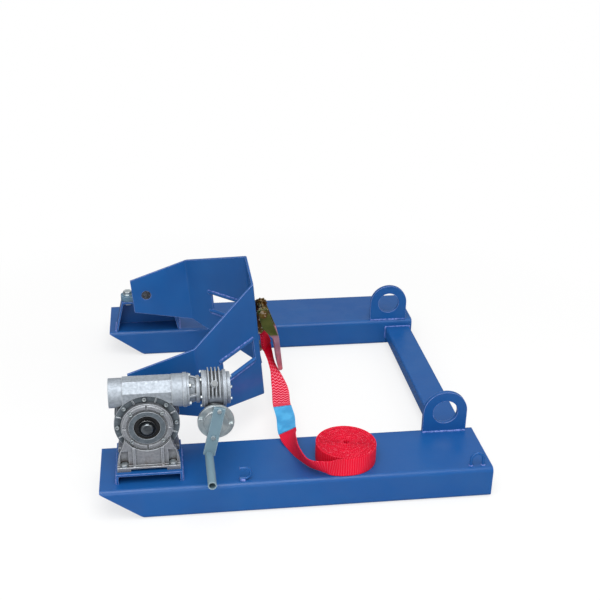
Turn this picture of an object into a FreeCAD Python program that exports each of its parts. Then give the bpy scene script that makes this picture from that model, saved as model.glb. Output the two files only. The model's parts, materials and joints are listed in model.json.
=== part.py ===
import FreeCAD, Part
import math
import os
from FreeCAD import Vector

# Drum tipper for a fork truck: two fork pockets and a rear tube carry a folded cradle that a hand crank
# turns through two worm stages. Millimetres, X from the pocket tips to the truck, Y across, Z up.

# Fork pockets and the tube that joins them
pocket_length = 1000
pocket_width = 208
pocket_height = 87
pocket_wall = 6
pocket_corner = 12
pocket_gap = 676
tip_bevel = 112
tube_depth = 82
tube_height = 40
tube_wall = 4
tube_corner = 6
tube_inset = 7

# Chain lugs and the two small tie fittings of bent round bar
lug_radius = 60
lug_hole = 34
lug_thickness = 12
lug_inset = 81
lug_eye = 60
lug_edge_gap = 8
tie_bar = 4
tie_edge_gap = 20
hook_x = 348
hook_reach = 28
hook_height = 30
staple_inset = 55
staple_width = 32
staple_height = 35

# Stands welded on the pockets
stand_plate = 6
near_stand_width = 165
near_stand_height = 28
near_stand_front = 31
near_stand_back = 179
far_stand_foot = 206
far_stand_top = 160
far_stand_inset = 8
far_stand_depth = 70

# Tilting axis and the cradle, whose flats touch a 200 litre drum
pivot_x = 124.5
pivot_z = 232
rest_tilt = 5.2
cradle_plate = 6
tip_reach = 43.5
fold_reach = 136.5
back_reach = 314.5
wing_half_gap = 303.5
back_half_width = 101.5
tip_half_height = 54.5
fold_half_height = 101.5
back_half_height = 173
bend_radius = 8
pivot_radius = 15
collar_radius = 24
collar_width = 10
pin_recess = 2.5
pin_overhang = 6

# Strap windows in the diagonals, lined with round bar
window_start = 104
window_end = 245
window_top = 10
window_bottom = -43
guide_radius = 6
guide_start = 89

# Main worm gearbox
gear_inset = 104
centre_distance = 75
wheel_share = 0.76
wheel_teeth = 30
worm_starts = 2
wheel_width = 28
worm_half_length = 42
drum_radius = 78
drum_half_width = 24.5
cover_radius = 81
cover_thickness = 8.5
chamber_radius = 62
bearing_ring_radius = 45.5
bearing_ring_out = 49
output_bearing_radius = 34
output_bearing_width = 16
seal_radius = 32.5
seal_width = 6
sleeve_radius = 22
seal_recess = 3
sleeve_out = 52
shaft_overhang = 7
shaft_chamfer = 2
key_width = 8
key_height = 7
key_length = 60
screw_circle = 73
screw_count = 8
screw_turn = 3
rib_count = 6
rib_start = 66
rib_end = 78
rib_width = 3
rib_height = 2.5

# Worm tube across the top of the main gearbox
worm_tube_radius = 37
worm_chamber_radius = 22.5
cap_start = 34
cap_end = 68
cap_wall = 8
ear_start = 188
ear_radius = 41
rim_start = 216
rim_end = 225
rim_radius = 43
worm_shaft_radius = 12
worm_bearing_width = 15

# Foot brackets under the main gearbox
foot_half_width = 78
foot_front = 62
foot_back = 28
foot_pad = 12
foot_arch_half = 45
foot_arch_height = 7.5
foot_bolt_x = 60
foot_bolt_out = 53
foot_web_out = 52
foot_scallop = 11
foot_scallop_top = 42
foot_shoulder_half = 75
foot_shoulder_height = 32
foot_neck_half = 67
foot_neck_height = 52
foot_ring_radius = 64
foot_ring_out = 45
foot_rim_outer = 60
foot_rim_inner = 52
foot_rim_height = 3
foot_rim_slot = 5
foot_rib_x = 35
foot_rib_out = 56
foot_screw_circle = 54.5

# First worm stage, between the crank and the main worm
bell_end = 257
bell_flange_width = 6
bell_rim_width = 8
bell_rim_radius = 34
bell_cone_start = 36
bell_cone_end = 28
bell_bore = 20
bell_rib_count = 4
bell_rib_width = 5
bell_screw_circle = 35
neck_radius = 30
stage_start = 262
stage_end = 322
stage_radius = 42.5
stage_rim_radius = 45.5
stage_rim_width = 8
stage_flange_width = 5
stage_spigot = 7
stage_wall = 10
stage_distance = 48
stage_wheel_share = 0.7
stage_teeth = 28
stage_starts = 4
stage_wheel_width = 16
stage_worm_half = 26
stage_chamber_radius = 38
stage_cover_radius = 40
stage_cover_width = 10
stage_bearing_radius = 20
stage_bearing_width = 9
stage_screw_circle = 42
stage_cover_circle = 32
nose_radius = 24.5
nose_front = 71
nose_back = 46
nose_wall = 5
nose_chamber = 17.5
input_radius = 9
input_bearing_width = 12
input_seal_width = 5
fin_count = 4
fin_thickness = 3
fin_pitch = 9
fin_radius = 52
plug_lean = 50
boss_radius = 9
boss_out = 53
plug_radius = 5
plug_flats = 13
plug_head = 5
plug_depth = 6

# Crank
crank_angle = 12.5
disc_radius = 45
disc_thickness = 8
disc_gap = 5
disc_hub_radius = 30
disc_hub_height = 2
crank_bolt_circle = 37.5
arm_width = 29
arm_thickness = 8
arm_above = 44
crank_throw = 89
handle_radius = 10.5
handle_wall = 2.5
handle_length = 139

# Pillow block on the far stand
block_height = 43
block_half_length = 82.5
block_half_width = 23
block_inset = 3
block_foot = 17
block_half_spacing = 60.5
block_hump = 28
block_bore = 21
insert_half_width = 19

# Fasteners
small_bolt = 3
small_flats = 10
small_head = 5
small_socket = 5
small_socket_depth = 3
fine_bolt = 2
fine_flats = 7
fine_head = 4
foot_bolt = 5
foot_flats = 17
foot_head = 7
block_bolt = 7
block_flats = 24
block_head = 10
washer_height = 2.5
washer_share = 1.25
screw_depth = 9
short_depth = 1

# Teeth, as shares of the pitch and of the module
tip_share = 0.12
root_share = 0.28
root_depth_share = 1.25

# Ratchet buckle and its webbing
webbing_width = 50
webbing_thickness = 2.5
ratchet_plate = 3
ratchet_half_width = 27
spool_out = 23
spool_height = 48
spool_radius = 9
spool_slot = 3.5
ratchet_eye = 15
ratchet_wheel_radius = 20
ratchet_tooth = 3.5
ratchet_teeth = 12
ratchet_bottom = -17
anchor_out = 13
anchor_height = -4
anchor_radius = 5
anchor_margin = 10
tongue_bottom = -70
tongue_roll = 5
eye_out = 14
eye_drop = 68.5
handle_rest = 10
handle_eye = 14
elbow_outer = 24
elbow_inner = 8
elbow_drop = 90
grip_outer = 9
grip_inner = -4
grip_drop = 187
pawl_thickness = 4
pawl_depth = 12
pawl_travel = 2.5
lock_offset = -5
handle_pawl_offset = 14
bar_height = -108
bar_radius = 3
bar_half_width = 36
coil_x = 628
coil_inset = 86
coil_radius = 80
coil_turns = 23
coil_pitch = 3.1
coil_start = 266
tail_hang = [
    (5, 0, -16.6),
    (15, -26, -47),
    (24, -61, -72),
    (26, -118, -86),
    (22, -189, -90),
    (22, -263, -91),
    (19, -332, -87),
]
tail_lie = [(-132, 62, 24), (-121, -1, 27), (-98, -50, 24), (-62, -77, 28)]
tail_across_shares = [
    (0, 1, 0),
    (0.1, 1, 0),
    (0.25, 0.95, -0.18),
    (0.56, 0.8, -0.19),
    (0.87, 0.49, -0.08),
    (1, 0.05, 0.04),
    (0.92, -0.38, 0.13),
    (0.65, -0.7, 0.3),
    (0.31, -0.8, 0.51),
    (0.14, -0.78, 0.61),
    (-0.04, -0.67, 0.74),
    (-0.03, -0.37, 0.93),
]

# Fits and clearances
overrun = 5
seat_gap = 0.03
running_gap = 0.05
bolt_gap = 0.3
side_gap = 0.5
loose_gap = 1.5

AXES = {"x": Vector(1, 0, 0), "y": Vector(0, 1, 0), "z": Vector(0, 0, 1)}
NEAR = -1
FAR = 1
full_turn = 360
half_turn = 180
quarter_turn = 90

# Places that follow from the sizes above
half = 0.5
half_gap = half * pocket_gap
lug_x = pocket_length - lug_inset
staple_x = pocket_length - staple_inset
outer_y = half_gap + pocket_width
near_face = -outer_y
gear_y = near_face + gear_inset
worm_z = pivot_z + centre_distance
near_stand_top = pocket_height + near_stand_height
stage_x = half * (stage_start + stage_end)
input_z = worm_z - stage_distance
block_y = half_gap + far_stand_inset + block_inset + block_half_width
block_base = pivot_z - block_height
cover_face = drum_half_width + cover_thickness
seal_front = bearing_ring_out - seal_recess
bearing_front = seal_front - seal_width
main_wheel_radius = wheel_share * centre_distance
main_worm_radius = centre_distance - main_wheel_radius
main_module = 2 * main_wheel_radius / wheel_teeth
stage_wheel_radius = stage_wheel_share * stage_distance
stage_worm_radius = stage_distance - stage_wheel_radius
stage_module = 2 * stage_wheel_radius / stage_teeth
wing_outer = wing_half_gap + half * cradle_plate
back_outer = pivot_x + back_reach + half * cradle_plate
spool_x = back_outer + spool_out
spool_z = pivot_z + spool_height
anchor_x = back_outer + anchor_out
anchor_z = pivot_z + anchor_height
disc_y = gear_y - nose_front - disc_gap
arm_y = disc_y - disc_thickness - disc_hub_height
coil_y = near_face + coil_inset


def box(x, y, z):
    """A block between two values on each axis."""
    low = Vector(min(x), min(y), min(z))
    return Part.makeBox(abs(x[1] - x[0]), abs(y[1] - y[0]), abs(z[1] - z[0]), low)


def rod(axis, a, b, radius, ends):
    """A cylinder along an axis; a and b are its other two coordinates in order."""
    low = min(ends)
    base = {"x": Vector(low, a, b), "y": Vector(a, low, b), "z": Vector(a, b, low)}[axis]
    return Part.makeCylinder(radius, max(ends) - low, base, AXES[axis])


def ring(axis, a, b, outer, inner, ends):
    """A round ring along an axis."""
    long = (min(ends) - overrun, max(ends) + overrun)
    return rod(axis, a, b, outer, ends).cut(rod(axis, a, b, inner, long))


def prism(plane, points, ends):
    """A flat outline in a plane, pulled along the third axis."""
    low, high = min(ends), max(ends)
    place = {
        "xz": lambda p: Vector(p[0], low, p[1]),
        "xy": lambda p: Vector(p[0], p[1], low),
        "yz": lambda p: Vector(low, p[0], p[1]),
    }[plane]
    corners = [place(p) for p in points]
    face = Part.Face(Part.makePolygon(corners + corners[:1]))
    along = AXES[{"xz": "y", "xy": "z", "yz": "x"}[plane]]
    return face.extrude(along * (high - low))


def rounded(shape, axis, radius):
    """The shape with its straight edges along an axis rounded."""
    picked = [e for e in shape.Edges if abs(e.tangentAt(e.FirstParameter).dot(AXES[axis])) > 1 - 1e-6]
    return shape.makeFillet(radius, picked)


def around(count, radius, start=0):
    """Points on a circle, first at an angle in degrees."""
    angles = [math.radians(start + full_turn * i / count) for i in range(count)]
    return [(radius * math.cos(a), radius * math.sin(a)) for a in angles]


def hexagon(axis, a, b, flats, ends):
    """A hexagonal bar along an axis, by its width across flats."""
    corner = flats / math.sqrt(3)
    plane = {"x": "yz", "y": "xz", "z": "xy"}[axis]
    return prism(plane, [(a + p, b + q) for p, q in around(6, corner)], ends)


def bolt(axis, a, b, radius, flats, head, tip, seat):
    """A hexagon bolt with its head beyond the seat, away from the tip."""
    way = 1 if seat > tip else -1
    shank = rod(axis, a, b, radius, (tip, seat))
    return shank.fuse(hexagon(axis, a, b, flats, (seat, seat + way * head))).removeSplitter()


def socket_screw(axis, a, b, tip, seat):
    """A small round-headed screw with a hexagon socket, its head beyond the seat."""
    way = 1 if seat > tip else -1
    top = seat + way * small_head
    shank = rod(axis, a, b, small_bolt, (tip, seat))
    head = rod(axis, a, b, half * small_flats, (seat, top))
    socket = hexagon(axis, a, b, small_socket, (top - way * small_socket_depth, top + way * overrun))
    return shank.fuse(head).removeSplitter().cut(socket)


def nut(x, y, flats, radius, height, top):
    """A hexagon nut on an upright bolt, hanging from a height."""
    blank = hexagon("z", x, y, flats, (top - height, top))
    return blank.cut(rod("z", x, y, radius + seat_gap, (top - height - overrun, top + overrun)))


def bent_bar(points, bend, radius):
    """A round bar along straight runs with equal bends between them."""
    edges = []
    start = points[0]
    for before, corner, after in zip(points, points[1:], points[2:]):
        into = (corner - before).normalize()
        out = (after - corner).normalize()
        turn = into.getAngle(out)
        trim = bend * math.tan(half * turn)
        first = corner - into * trim
        last = corner + out * trim
        lean = (out - into).normalize()
        middle = corner + lean * (bend / math.cos(half * turn) - bend)
        if (first - start).Length > seat_gap:
            edges.append(Part.makeLine(start, first))
        edges.append(Part.Arc(first, middle, last).toShape())
        start = last
    if (points[-1] - start).Length > seat_gap:
        edges.append(Part.makeLine(start, points[-1]))
    path = Part.Wire(edges)
    circle = Part.Wire(Part.makeCircle(radius, points[0], points[1] - points[0]))
    return path.makePipeShell([circle], True, True)


def side_y(side, near, far):
    """Two values of Y at these distances from the main gear plane, on one side of it."""
    return (gear_y + side * near, gear_y + side * far)


def tilted(shape):
    """The shape turned about the tilting axis to where the cradle rests."""
    turned = shape.copy()
    turned.rotate(Vector(pivot_x, 0, pivot_z), AXES["y"], -rest_tilt)
    return turned


# Frame


def fork_pocket(side):
    """A closed-tip sleeve for one fork tine."""
    y = (side * half_gap, side * outer_y)
    wall = pocket_wall
    inside_y = (side * (half_gap + wall), side * (outer_y - wall))
    shell = rounded(box((0, pocket_length), y, (0, pocket_height)), "x", pocket_corner)
    hollow = box((-overrun, pocket_length + overrun), inside_y, (wall, pocket_height - wall))
    hollow = rounded(hollow, "x", pocket_corner - wall)
    slope = tip_bevel / (pocket_height - wall)
    keep = [
        (0, pocket_height - wall),
        (tip_bevel, 0),
        (pocket_length + overrun, 0),
        (pocket_length + overrun, pocket_height),
        (0, pocket_height),
    ]
    shift = wall * math.hypot(1, slope)
    room = [(x + shift, z) for x, z in keep[:2]] + [(x + overrun, z) for x, z in keep[2:4]]
    room.append((shift, pocket_height))
    wide = (side * (half_gap - overrun), side * (outer_y + overrun))
    outer = shell.common(prism("xz", keep, wide))
    return outer.cut(hollow.common(prism("xz", room, wide)))


def rear_tube():
    """The rectangular tube welded between the pockets."""
    x = (pocket_length - tube_inset - tube_depth, pocket_length - tube_inset)
    middle = half * pocket_height
    z = (middle - half * tube_height, middle + half * tube_height)
    wall = tube_wall
    outer = rounded(box(x, (-half_gap, half_gap), z), "y", tube_corner)
    long = (-half_gap - overrun, half_gap + overrun)
    inner = box((x[0] + wall, x[1] - wall), long, (z[0] + wall, z[1] - wall))
    return outer.cut(rounded(inner, "y", tube_corner - wall))


def chain_lug(side):
    """An eye plate with a round head."""
    y = (side * (half_gap + lug_edge_gap), side * (half_gap + lug_edge_gap + lug_thickness))
    eye = pocket_height + lug_eye
    foot = box((lug_x - lug_radius, lug_x + lug_radius), y, (pocket_height, eye))
    head = rod("y", lug_x, eye, lug_radius, y)
    hole = rod("y", lug_x, eye, lug_hole, (min(y) - overrun, max(y) + overrun))
    return foot.fuse(head).removeSplitter().cut(hole)


def tie_hook():
    """An open hook of round bar lying on its side."""
    y = near_face + tie_edge_gap
    low = pocket_height + tie_bar
    end = hook_x + hook_reach
    points = [
        Vector(hook_x, y, low),
        Vector(end, y, low),
        Vector(end, y, low + hook_height),
        Vector(hook_x, y, low + hook_height),
    ]
    return bent_bar(points, half * hook_height, tie_bar)


def tie_staple():
    """An arch of round bar."""
    y = near_face + tie_edge_gap
    top = pocket_height + staple_height
    points = [
        Vector(staple_x, y, pocket_height),
        Vector(staple_x, y, top),
        Vector(staple_x + staple_width, y, top),
        Vector(staple_x + staple_width, y, pocket_height),
    ]
    return bent_bar(points, half * staple_width, tie_bar)


def near_stand():
    """A low bridge that the gearbox feet stand on."""
    reach = half * near_stand_width
    inner = reach - stand_plate
    top = near_stand_top
    outline = [(-reach, pocket_height), (-reach, top), (reach, top), (reach, pocket_height)]
    outline += [(inner, pocket_height), (inner, top - stand_plate), (-inner, top - stand_plate)]
    outline.append((-inner, pocket_height))
    y = (near_face + near_stand_front, near_face + near_stand_back)
    stand = prism("xz", [(pivot_x + x, z) for x, z in outline], y)
    for x, bolt_y in foot_bolt_places():
        stand = stand.cut(rod("z", x, bolt_y, foot_bolt + bolt_gap, (pocket_height, top + overrun)))
    return stand


def far_stand():
    """A taller bridge with slanting legs that the pillow block stands on."""
    foot, top = half * far_stand_foot, half * far_stand_top
    lean = (foot - top) / (block_base - pocket_height)
    across = stand_plate * math.hypot(1, lean)
    under = block_base - stand_plate
    shoulder = top + lean * stand_plate - across
    outline = [(-foot, pocket_height), (-top, block_base), (top, block_base), (foot, pocket_height)]
    outline += [(foot - across, pocket_height), (shoulder, under), (-shoulder, under)]
    outline.append((across - foot, pocket_height))
    front = half_gap + far_stand_inset
    stand = prism("xz", [(pivot_x + x, z) for x, z in outline], (front, front + far_stand_depth))
    through = (under - overrun, block_base + overrun)
    for x in block_bolt_places():
        stand = stand.cut(rod("z", x, block_y, block_bolt + bolt_gap, through))
    return stand


def foot_bolt_places():
    """Plan places of the four bolts through the gearbox feet."""
    return [(pivot_x + sx * foot_bolt_x, gear_y + sy * foot_bolt_out) for sx in (-1, 1) for sy in (NEAR, FAR)]


def block_bolt_places():
    """X of the two bolts through the pillow block."""
    return [pivot_x - block_half_spacing, pivot_x + block_half_spacing]


# Main gearbox


def gearbox_housing():
    """The cast box: a drum round the wheel with the worm tube across its top."""
    thick = side_y(FAR, -drum_half_width, drum_half_width)
    drum = rod("y", pivot_x, pivot_z, drum_radius, thick)
    facet = half * full_turn / 8
    flat = worm_tube_radius / math.cos(math.radians(facet))
    octagon = [(gear_y + p, worm_z + q) for p, q in around(8, flat, facet)]
    tube = prism("yz", octagon, (cap_end, ear_start))
    ear = rod("x", gear_y, worm_z, ear_radius, (ear_start, rim_start))
    rim = rod("x", gear_y, worm_z, rim_radius, (rim_start, rim_end))
    saddle = box((cap_end, 2 * pivot_x - cap_end), thick, (pivot_z, worm_z))
    body = drum.fuse([tube, ear, rim, saddle]).removeSplitter().cut(cover_room())
    wide = side_y(FAR, -drum_half_width - overrun, drum_half_width + overrun)
    body = body.cut(rod("y", pivot_x, pivot_z, chamber_radius, wide))
    body = body.cut(rod("x", gear_y, worm_z, worm_chamber_radius, (cap_start, rim_end + overrun)))
    for side in (NEAR, FAR):
        for x, z in cover_screw_places():
            ends = side_y(side, drum_half_width + overrun, drum_half_width - screw_reach(z))
            body = body.cut(rod("y", x, z, small_bolt + bolt_gap, ends))
    for y, z in bell_screw_places():
        body = body.cut(rod("x", y, z, small_bolt + bolt_gap, (rim_end - screw_depth, rim_end + overrun)))
    return body


def cover_room():
    """The round spaces on both sides of the drum where the covers lie."""
    room = cover_radius + side_gap
    far = ear_radius + overrun
    return Part.makeCompound(
        [rod("y", pivot_x, pivot_z, room, side_y(side, drum_half_width, far)) for side in (NEAR, FAR)]
    )


def cover_screw_places():
    """X and Z of the screws round each cover."""
    return [(pivot_x + p, pivot_z + q) for p, q in around(screw_count, screw_circle, screw_turn)]


def screw_reach(z):
    """How deep the drum is drilled for a cover screw, less where the worm runs behind it."""
    return screw_depth if z < worm_z - worm_chamber_radius * half else short_depth


def foot_screw_places():
    """X and Z of the screws that hold each foot bracket."""
    return [(pivot_x + p, pivot_z + q) for p, q in around(4, foot_screw_circle, half * quarter_turn)]


def bell_screw_places():
    """Y and Z of the screws that hold the bell."""
    return [(gear_y + p, worm_z + q) for p, q in around(4, bell_screw_circle, half * quarter_turn)]


def cover(side):
    """A round cover with a bearing ring, short ribs and screw holes."""
    body = rod("y", pivot_x, pivot_z, cover_radius, side_y(side, drum_half_width, cover_face))
    boss = side_y(side, cover_face, bearing_ring_out)
    body = body.fuse(rod("y", pivot_x, pivot_z, bearing_ring_radius, boss))
    step = full_turn / screw_count
    for i in range(rib_count):
        rib = box(
            (pivot_x + rib_start, pivot_x + rib_end),
            side_y(side, cover_face - rib_height, cover_face + rib_height),
            (pivot_z - half * rib_width, pivot_z + half * rib_width),
        )
        turn = screw_turn + step * (i - half)
        rib.rotate(Vector(pivot_x, 0, pivot_z), AXES["y"], -turn)
        body = body.fuse(rib)
    body = body.removeSplitter()
    seat = side_y(side, drum_half_width - overrun, bearing_front)
    body = body.cut(rod("y", pivot_x, pivot_z, output_bearing_radius, seat))
    front = side_y(side, bearing_front - overrun, sleeve_out + overrun)
    body = body.cut(rod("y", pivot_x, pivot_z, seal_radius, front))
    through = side_y(side, drum_half_width - overrun, cover_face + overrun)
    for x, z in cover_screw_places() + foot_screw_places():
        body = body.cut(rod("y", x, z, small_bolt + bolt_gap, through))
    return body


def foot_bracket(side):
    """A cast foot: a ring on the cover, a waisted web with ribs and a pad with bolt scallops."""
    base = near_stand_top
    pad_top = base + foot_pad
    pad = box((-foot_half_width, foot_half_width), (foot_front, foot_back), (base, pad_top))
    outline = [
        (foot_half_width, pad_top),
        (foot_shoulder_half, base + foot_shoulder_height),
        (foot_neck_half, base + foot_neck_height),
        (foot_ring_radius * math.cos(math.radians(half * quarter_turn)), pivot_z),
    ]
    outline += [(-x, z) for x, z in reversed(outline)]
    web = prism("xz", outline, (cover_face, foot_web_out))
    trim = rod("y", 0, pivot_z, foot_ring_radius, (foot_ring_out, foot_web_out + overrun))
    collar = rod("y", 0, pivot_z, foot_ring_radius, (cover_face, foot_ring_out))
    body = pad.fuse([web.cut(trim), collar])
    rib_top = pivot_z - math.sqrt(foot_ring_radius**2 - foot_rib_x**2)
    for x in (-foot_rib_x, foot_rib_x):
        rib = box((x - rib_width, x + rib_width), (cover_face, foot_rib_out), (pad_top, rib_top))
        body = body.fuse(rib)
    body = body.fuse(foot_rim()).removeSplitter()
    arch = (base - overrun, base + foot_arch_height)
    deep = (foot_back - overrun, foot_front + overrun)
    body = body.cut(box((-foot_arch_half, foot_arch_half), deep, arch))
    body = body.cut(rod("y", 0, pivot_z, bearing_ring_radius + seat_gap, deep))
    body = body.cut(rod("y", 0, pivot_z, cover_radius + side_gap, (0, cover_face)))
    for x in (-foot_bolt_x, foot_bolt_x):
        scallop = (pad_top, pad_top + foot_scallop_top)
        body = body.cut(rod("z", x, foot_bolt_out, foot_scallop, scallop))
        body = body.cut(rod("z", x, foot_bolt_out, foot_bolt + bolt_gap, (base - overrun, pad_top + overrun)))
    head_room = half * small_flats + loose_gap
    for x, z in cover_screw_places():
        body = body.cut(rod("y", x - pivot_x, z, head_room, (0, cover_face + small_head + side_gap)))
    for x, z in foot_screw_places():
        body = body.cut(rod("y", x - pivot_x, z, small_bolt + bolt_gap, (0, foot_front)))
        body = body.cut(rod("y", x - pivot_x, z, head_room, (foot_ring_out, foot_front)))
    if side == NEAR:
        body = body.mirror(Vector(0, 0, 0), AXES["y"])
    body.translate(Vector(pivot_x, gear_y, 0))
    return body


def foot_rim():
    """The raised rim on the foot's ring, cut through at the top, the bottom and both sides."""
    top = foot_ring_out + foot_rim_height
    rim = ring("y", 0, pivot_z, foot_rim_outer, foot_rim_inner, (cover_face, top))
    wide, slot = foot_ring_radius, half * foot_rim_slot
    room = (foot_ring_out, top + overrun)
    rim = rim.cut(box((-wide, wide), room, (pivot_z - slot, pivot_z + slot)))
    return rim.cut(box((-slot, slot), room, (pivot_z - wide, pivot_z + wide)))


def worm_end_cap():
    """The round closed end of the worm tube, which seats the end bearing."""
    cap = rod("x", gear_y, worm_z, worm_tube_radius, (cap_start, cap_end))
    cap = cap.cut(rod("x", gear_y, worm_z, worm_chamber_radius, (cap_start + cap_wall, cap_end + overrun)))
    cap = cap.cut(cover_room())
    thick = side_y(FAR, -drum_half_width - overrun, drum_half_width + overrun)
    return cap.cut(rod("y", pivot_x, pivot_z, drum_radius + seat_gap, thick))


def cover_screws():
    """Screws round both covers."""
    screws = []
    for side in (NEAR, FAR):
        for x, z in cover_screw_places():
            tip, seat = side_y(side, drum_half_width - screw_reach(z) + bolt_gap, cover_face)
            screws.append(socket_screw("y", x, z, tip, seat))
    return Part.makeCompound(screws)


def foot_screws():
    """Screws that hold both foot brackets on the covers."""
    screws = []
    for side in (NEAR, FAR):
        for x, z in foot_screw_places():
            tip, seat = side_y(side, drum_half_width + bolt_gap, foot_ring_out)
            screws.append(socket_screw("y", x, z, tip, seat))
    return Part.makeCompound(screws)


def foot_bolts():
    """Bolts through the feet and the stand, each with its nut under the plate."""
    under = near_stand_top - stand_plate
    seat = near_stand_top + foot_pad
    tip = under - foot_head
    return Part.makeCompound(
        [bolt("z", x, y, foot_bolt, foot_flats, foot_head, tip, seat) for x, y in foot_bolt_places()]
    )


def foot_nuts():
    """Nuts under the near stand."""
    under = near_stand_top - stand_plate
    return Part.makeCompound(
        [nut(x, y, foot_flats, foot_bolt, foot_head, under) for x, y in foot_bolt_places()]
    )


def output_bearings():
    """The two bearings that carry the hollow shaft."""
    start = bearing_front - output_bearing_width
    outer = output_bearing_radius - seat_gap
    inner = sleeve_radius + running_gap
    spans = [side_y(side, start, bearing_front) for side in (NEAR, FAR)]
    return Part.makeCompound([ring("y", pivot_x, pivot_z, outer, inner, y) for y in spans])


def output_seals():
    """Lip seals in front of the bearings, set back a little in their bores."""
    outer = seal_radius - seat_gap
    inner = sleeve_radius + running_gap
    spans = [side_y(side, bearing_front, seal_front) for side in (NEAR, FAR)]
    return Part.makeCompound([ring("y", pivot_x, pivot_z, outer, inner, y) for y in spans])


def worm_bearings():
    """The bearings that carry the main worm and its overhanging end."""
    outer = worm_chamber_radius - seat_gap
    inner = worm_shaft_radius + running_gap
    starts = (cap_start + cap_wall + loose_gap, ear_start + worm_bearing_width)
    rings = [ring("x", gear_y, worm_z, outer, inner, (x, x + worm_bearing_width)) for x in starts]
    end = stage_end - side_gap
    last = (end - stage_bearing_width, end)
    rings.append(ring("x", gear_y, worm_z, stage_bearing_radius - seat_gap, inner, last))
    return Part.makeCompound(rings)


# Gears


def tooth_sizes(pitch_radius, module):
    """Tip and root radius of a wheel or worm."""
    return pitch_radius + module, pitch_radius - root_depth_share * module


def tooth_wheel(teeth, pitch_radius, width, twist):
    """A wheel with slanting teeth about the local Z axis, a tooth gap at local X."""
    tip, root = tooth_sizes(pitch_radius, 2 * pitch_radius / teeth)
    step = full_turn / teeth
    flank = ((-root_share, root), (-tip_share, tip), (tip_share, tip), (root_share, root))
    wires = []
    for end in (-1, 0, 1):
        corners = []
        for i in range(teeth):
            middle = step * (i + half) + end * half * twist
            for share, radius in flank:
                angle = math.radians(middle + share * step)
                corners.append(Vector(radius * math.cos(angle), radius * math.sin(angle), end * half * width))
        wires.append(Part.makePolygon(corners + corners[:1]))
    return Part.makeLoft(wires, True, True)


def worm_thread(starts, module, pitch_radius, half_length):
    """A right-hand worm about the local Z axis, one thread crossing local X at mid length."""
    tip, root = tooth_sizes(pitch_radius, module)
    pitch = math.pi * module
    lead = pitch * starts
    core = Part.makeCylinder(root, 2 * half_length, Vector(0, 0, -half_length))
    turns = math.floor(4 * (2 * half_length - pitch) / lead) / 4
    rise = turns * lead
    helix = Part.Wire(Part.makeLongHelix(lead, rise, root))
    bite = root - half * module
    corners = [
        Vector(bite, 0, -root_share * pitch),
        Vector(tip, 0, -tip_share * pitch),
        Vector(tip, 0, tip_share * pitch),
        Vector(bite, 0, root_share * pitch),
    ]
    profile = Part.makePolygon(corners + corners[:1])
    threads = []
    for i in range(starts):
        ridge = helix.makePipeShell([profile], True, True)
        ridge.translate(Vector(0, 0, -half * rise))
        ridge.rotate(Vector(0, 0, 0), AXES["z"], full_turn * (i / starts - half * turns))
        threads.append(ridge)
    return core.fuse(threads)


def slant(module, starts, worm_radius, wheel_radius, width):
    """How far a wheel's teeth turn across its width to follow the worm, in degrees."""
    lean = module * starts / (2 * worm_radius)
    return math.degrees(width * lean / wheel_radius)


def worm_wheel():
    """The bronze wheel on the hollow shaft."""
    twist = slant(main_module, worm_starts, main_worm_radius, main_wheel_radius, wheel_width)
    gear = tooth_wheel(wheel_teeth, main_wheel_radius, wheel_width, twist)
    gear = gear.cut(rod("z", 0, 0, sleeve_radius + seat_gap, (-wheel_width, wheel_width)))
    gear.rotate(Vector(0, 0, 0), AXES["y"], -quarter_turn)
    gear.rotate(Vector(0, 0, 0), AXES["z"], quarter_turn)
    gear.translate(Vector(pivot_x, gear_y, pivot_z))
    return gear


def main_worm():
    """The worm on its shaft, which runs on into the first stage."""
    thread = worm_thread(worm_starts, main_module, main_worm_radius, worm_half_length)
    thread.rotate(Vector(0, 0, 0), AXES["y"], quarter_turn)
    thread.translate(Vector(pivot_x, gear_y, worm_z))
    ends = (cap_start + cap_wall + side_gap, stage_end - side_gap)
    return thread.fuse(rod("x", gear_y, worm_z, worm_shaft_radius, ends))


def stage_wheel():
    """The wheel of the first stage, on the main worm's shaft."""
    twist = slant(stage_module, stage_starts, stage_worm_radius, stage_wheel_radius, stage_wheel_width)
    gear = tooth_wheel(stage_teeth, stage_wheel_radius, stage_wheel_width, twist)
    gear = gear.cut(rod("z", 0, 0, worm_shaft_radius + seat_gap, (-stage_wheel_width, stage_wheel_width)))
    gear.rotate(Vector(0, 0, 0), AXES["y"], quarter_turn)
    gear.translate(Vector(stage_x, gear_y, worm_z))
    return gear


def stage_worm():
    """The worm that the crank turns, with its input shaft."""
    thread = worm_thread(stage_starts, stage_module, stage_worm_radius, stage_worm_half)
    thread.rotate(Vector(0, 0, 0), AXES["y"], -quarter_turn)
    thread.rotate(Vector(0, 0, 0), AXES["z"], quarter_turn)
    thread.translate(Vector(stage_x, gear_y, input_z))
    ends = (disc_y - disc_thickness, gear_y + nose_back - nose_wall - side_gap)
    return thread.fuse(rod("y", stage_x, input_z, input_radius, ends))


# First stage


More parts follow.
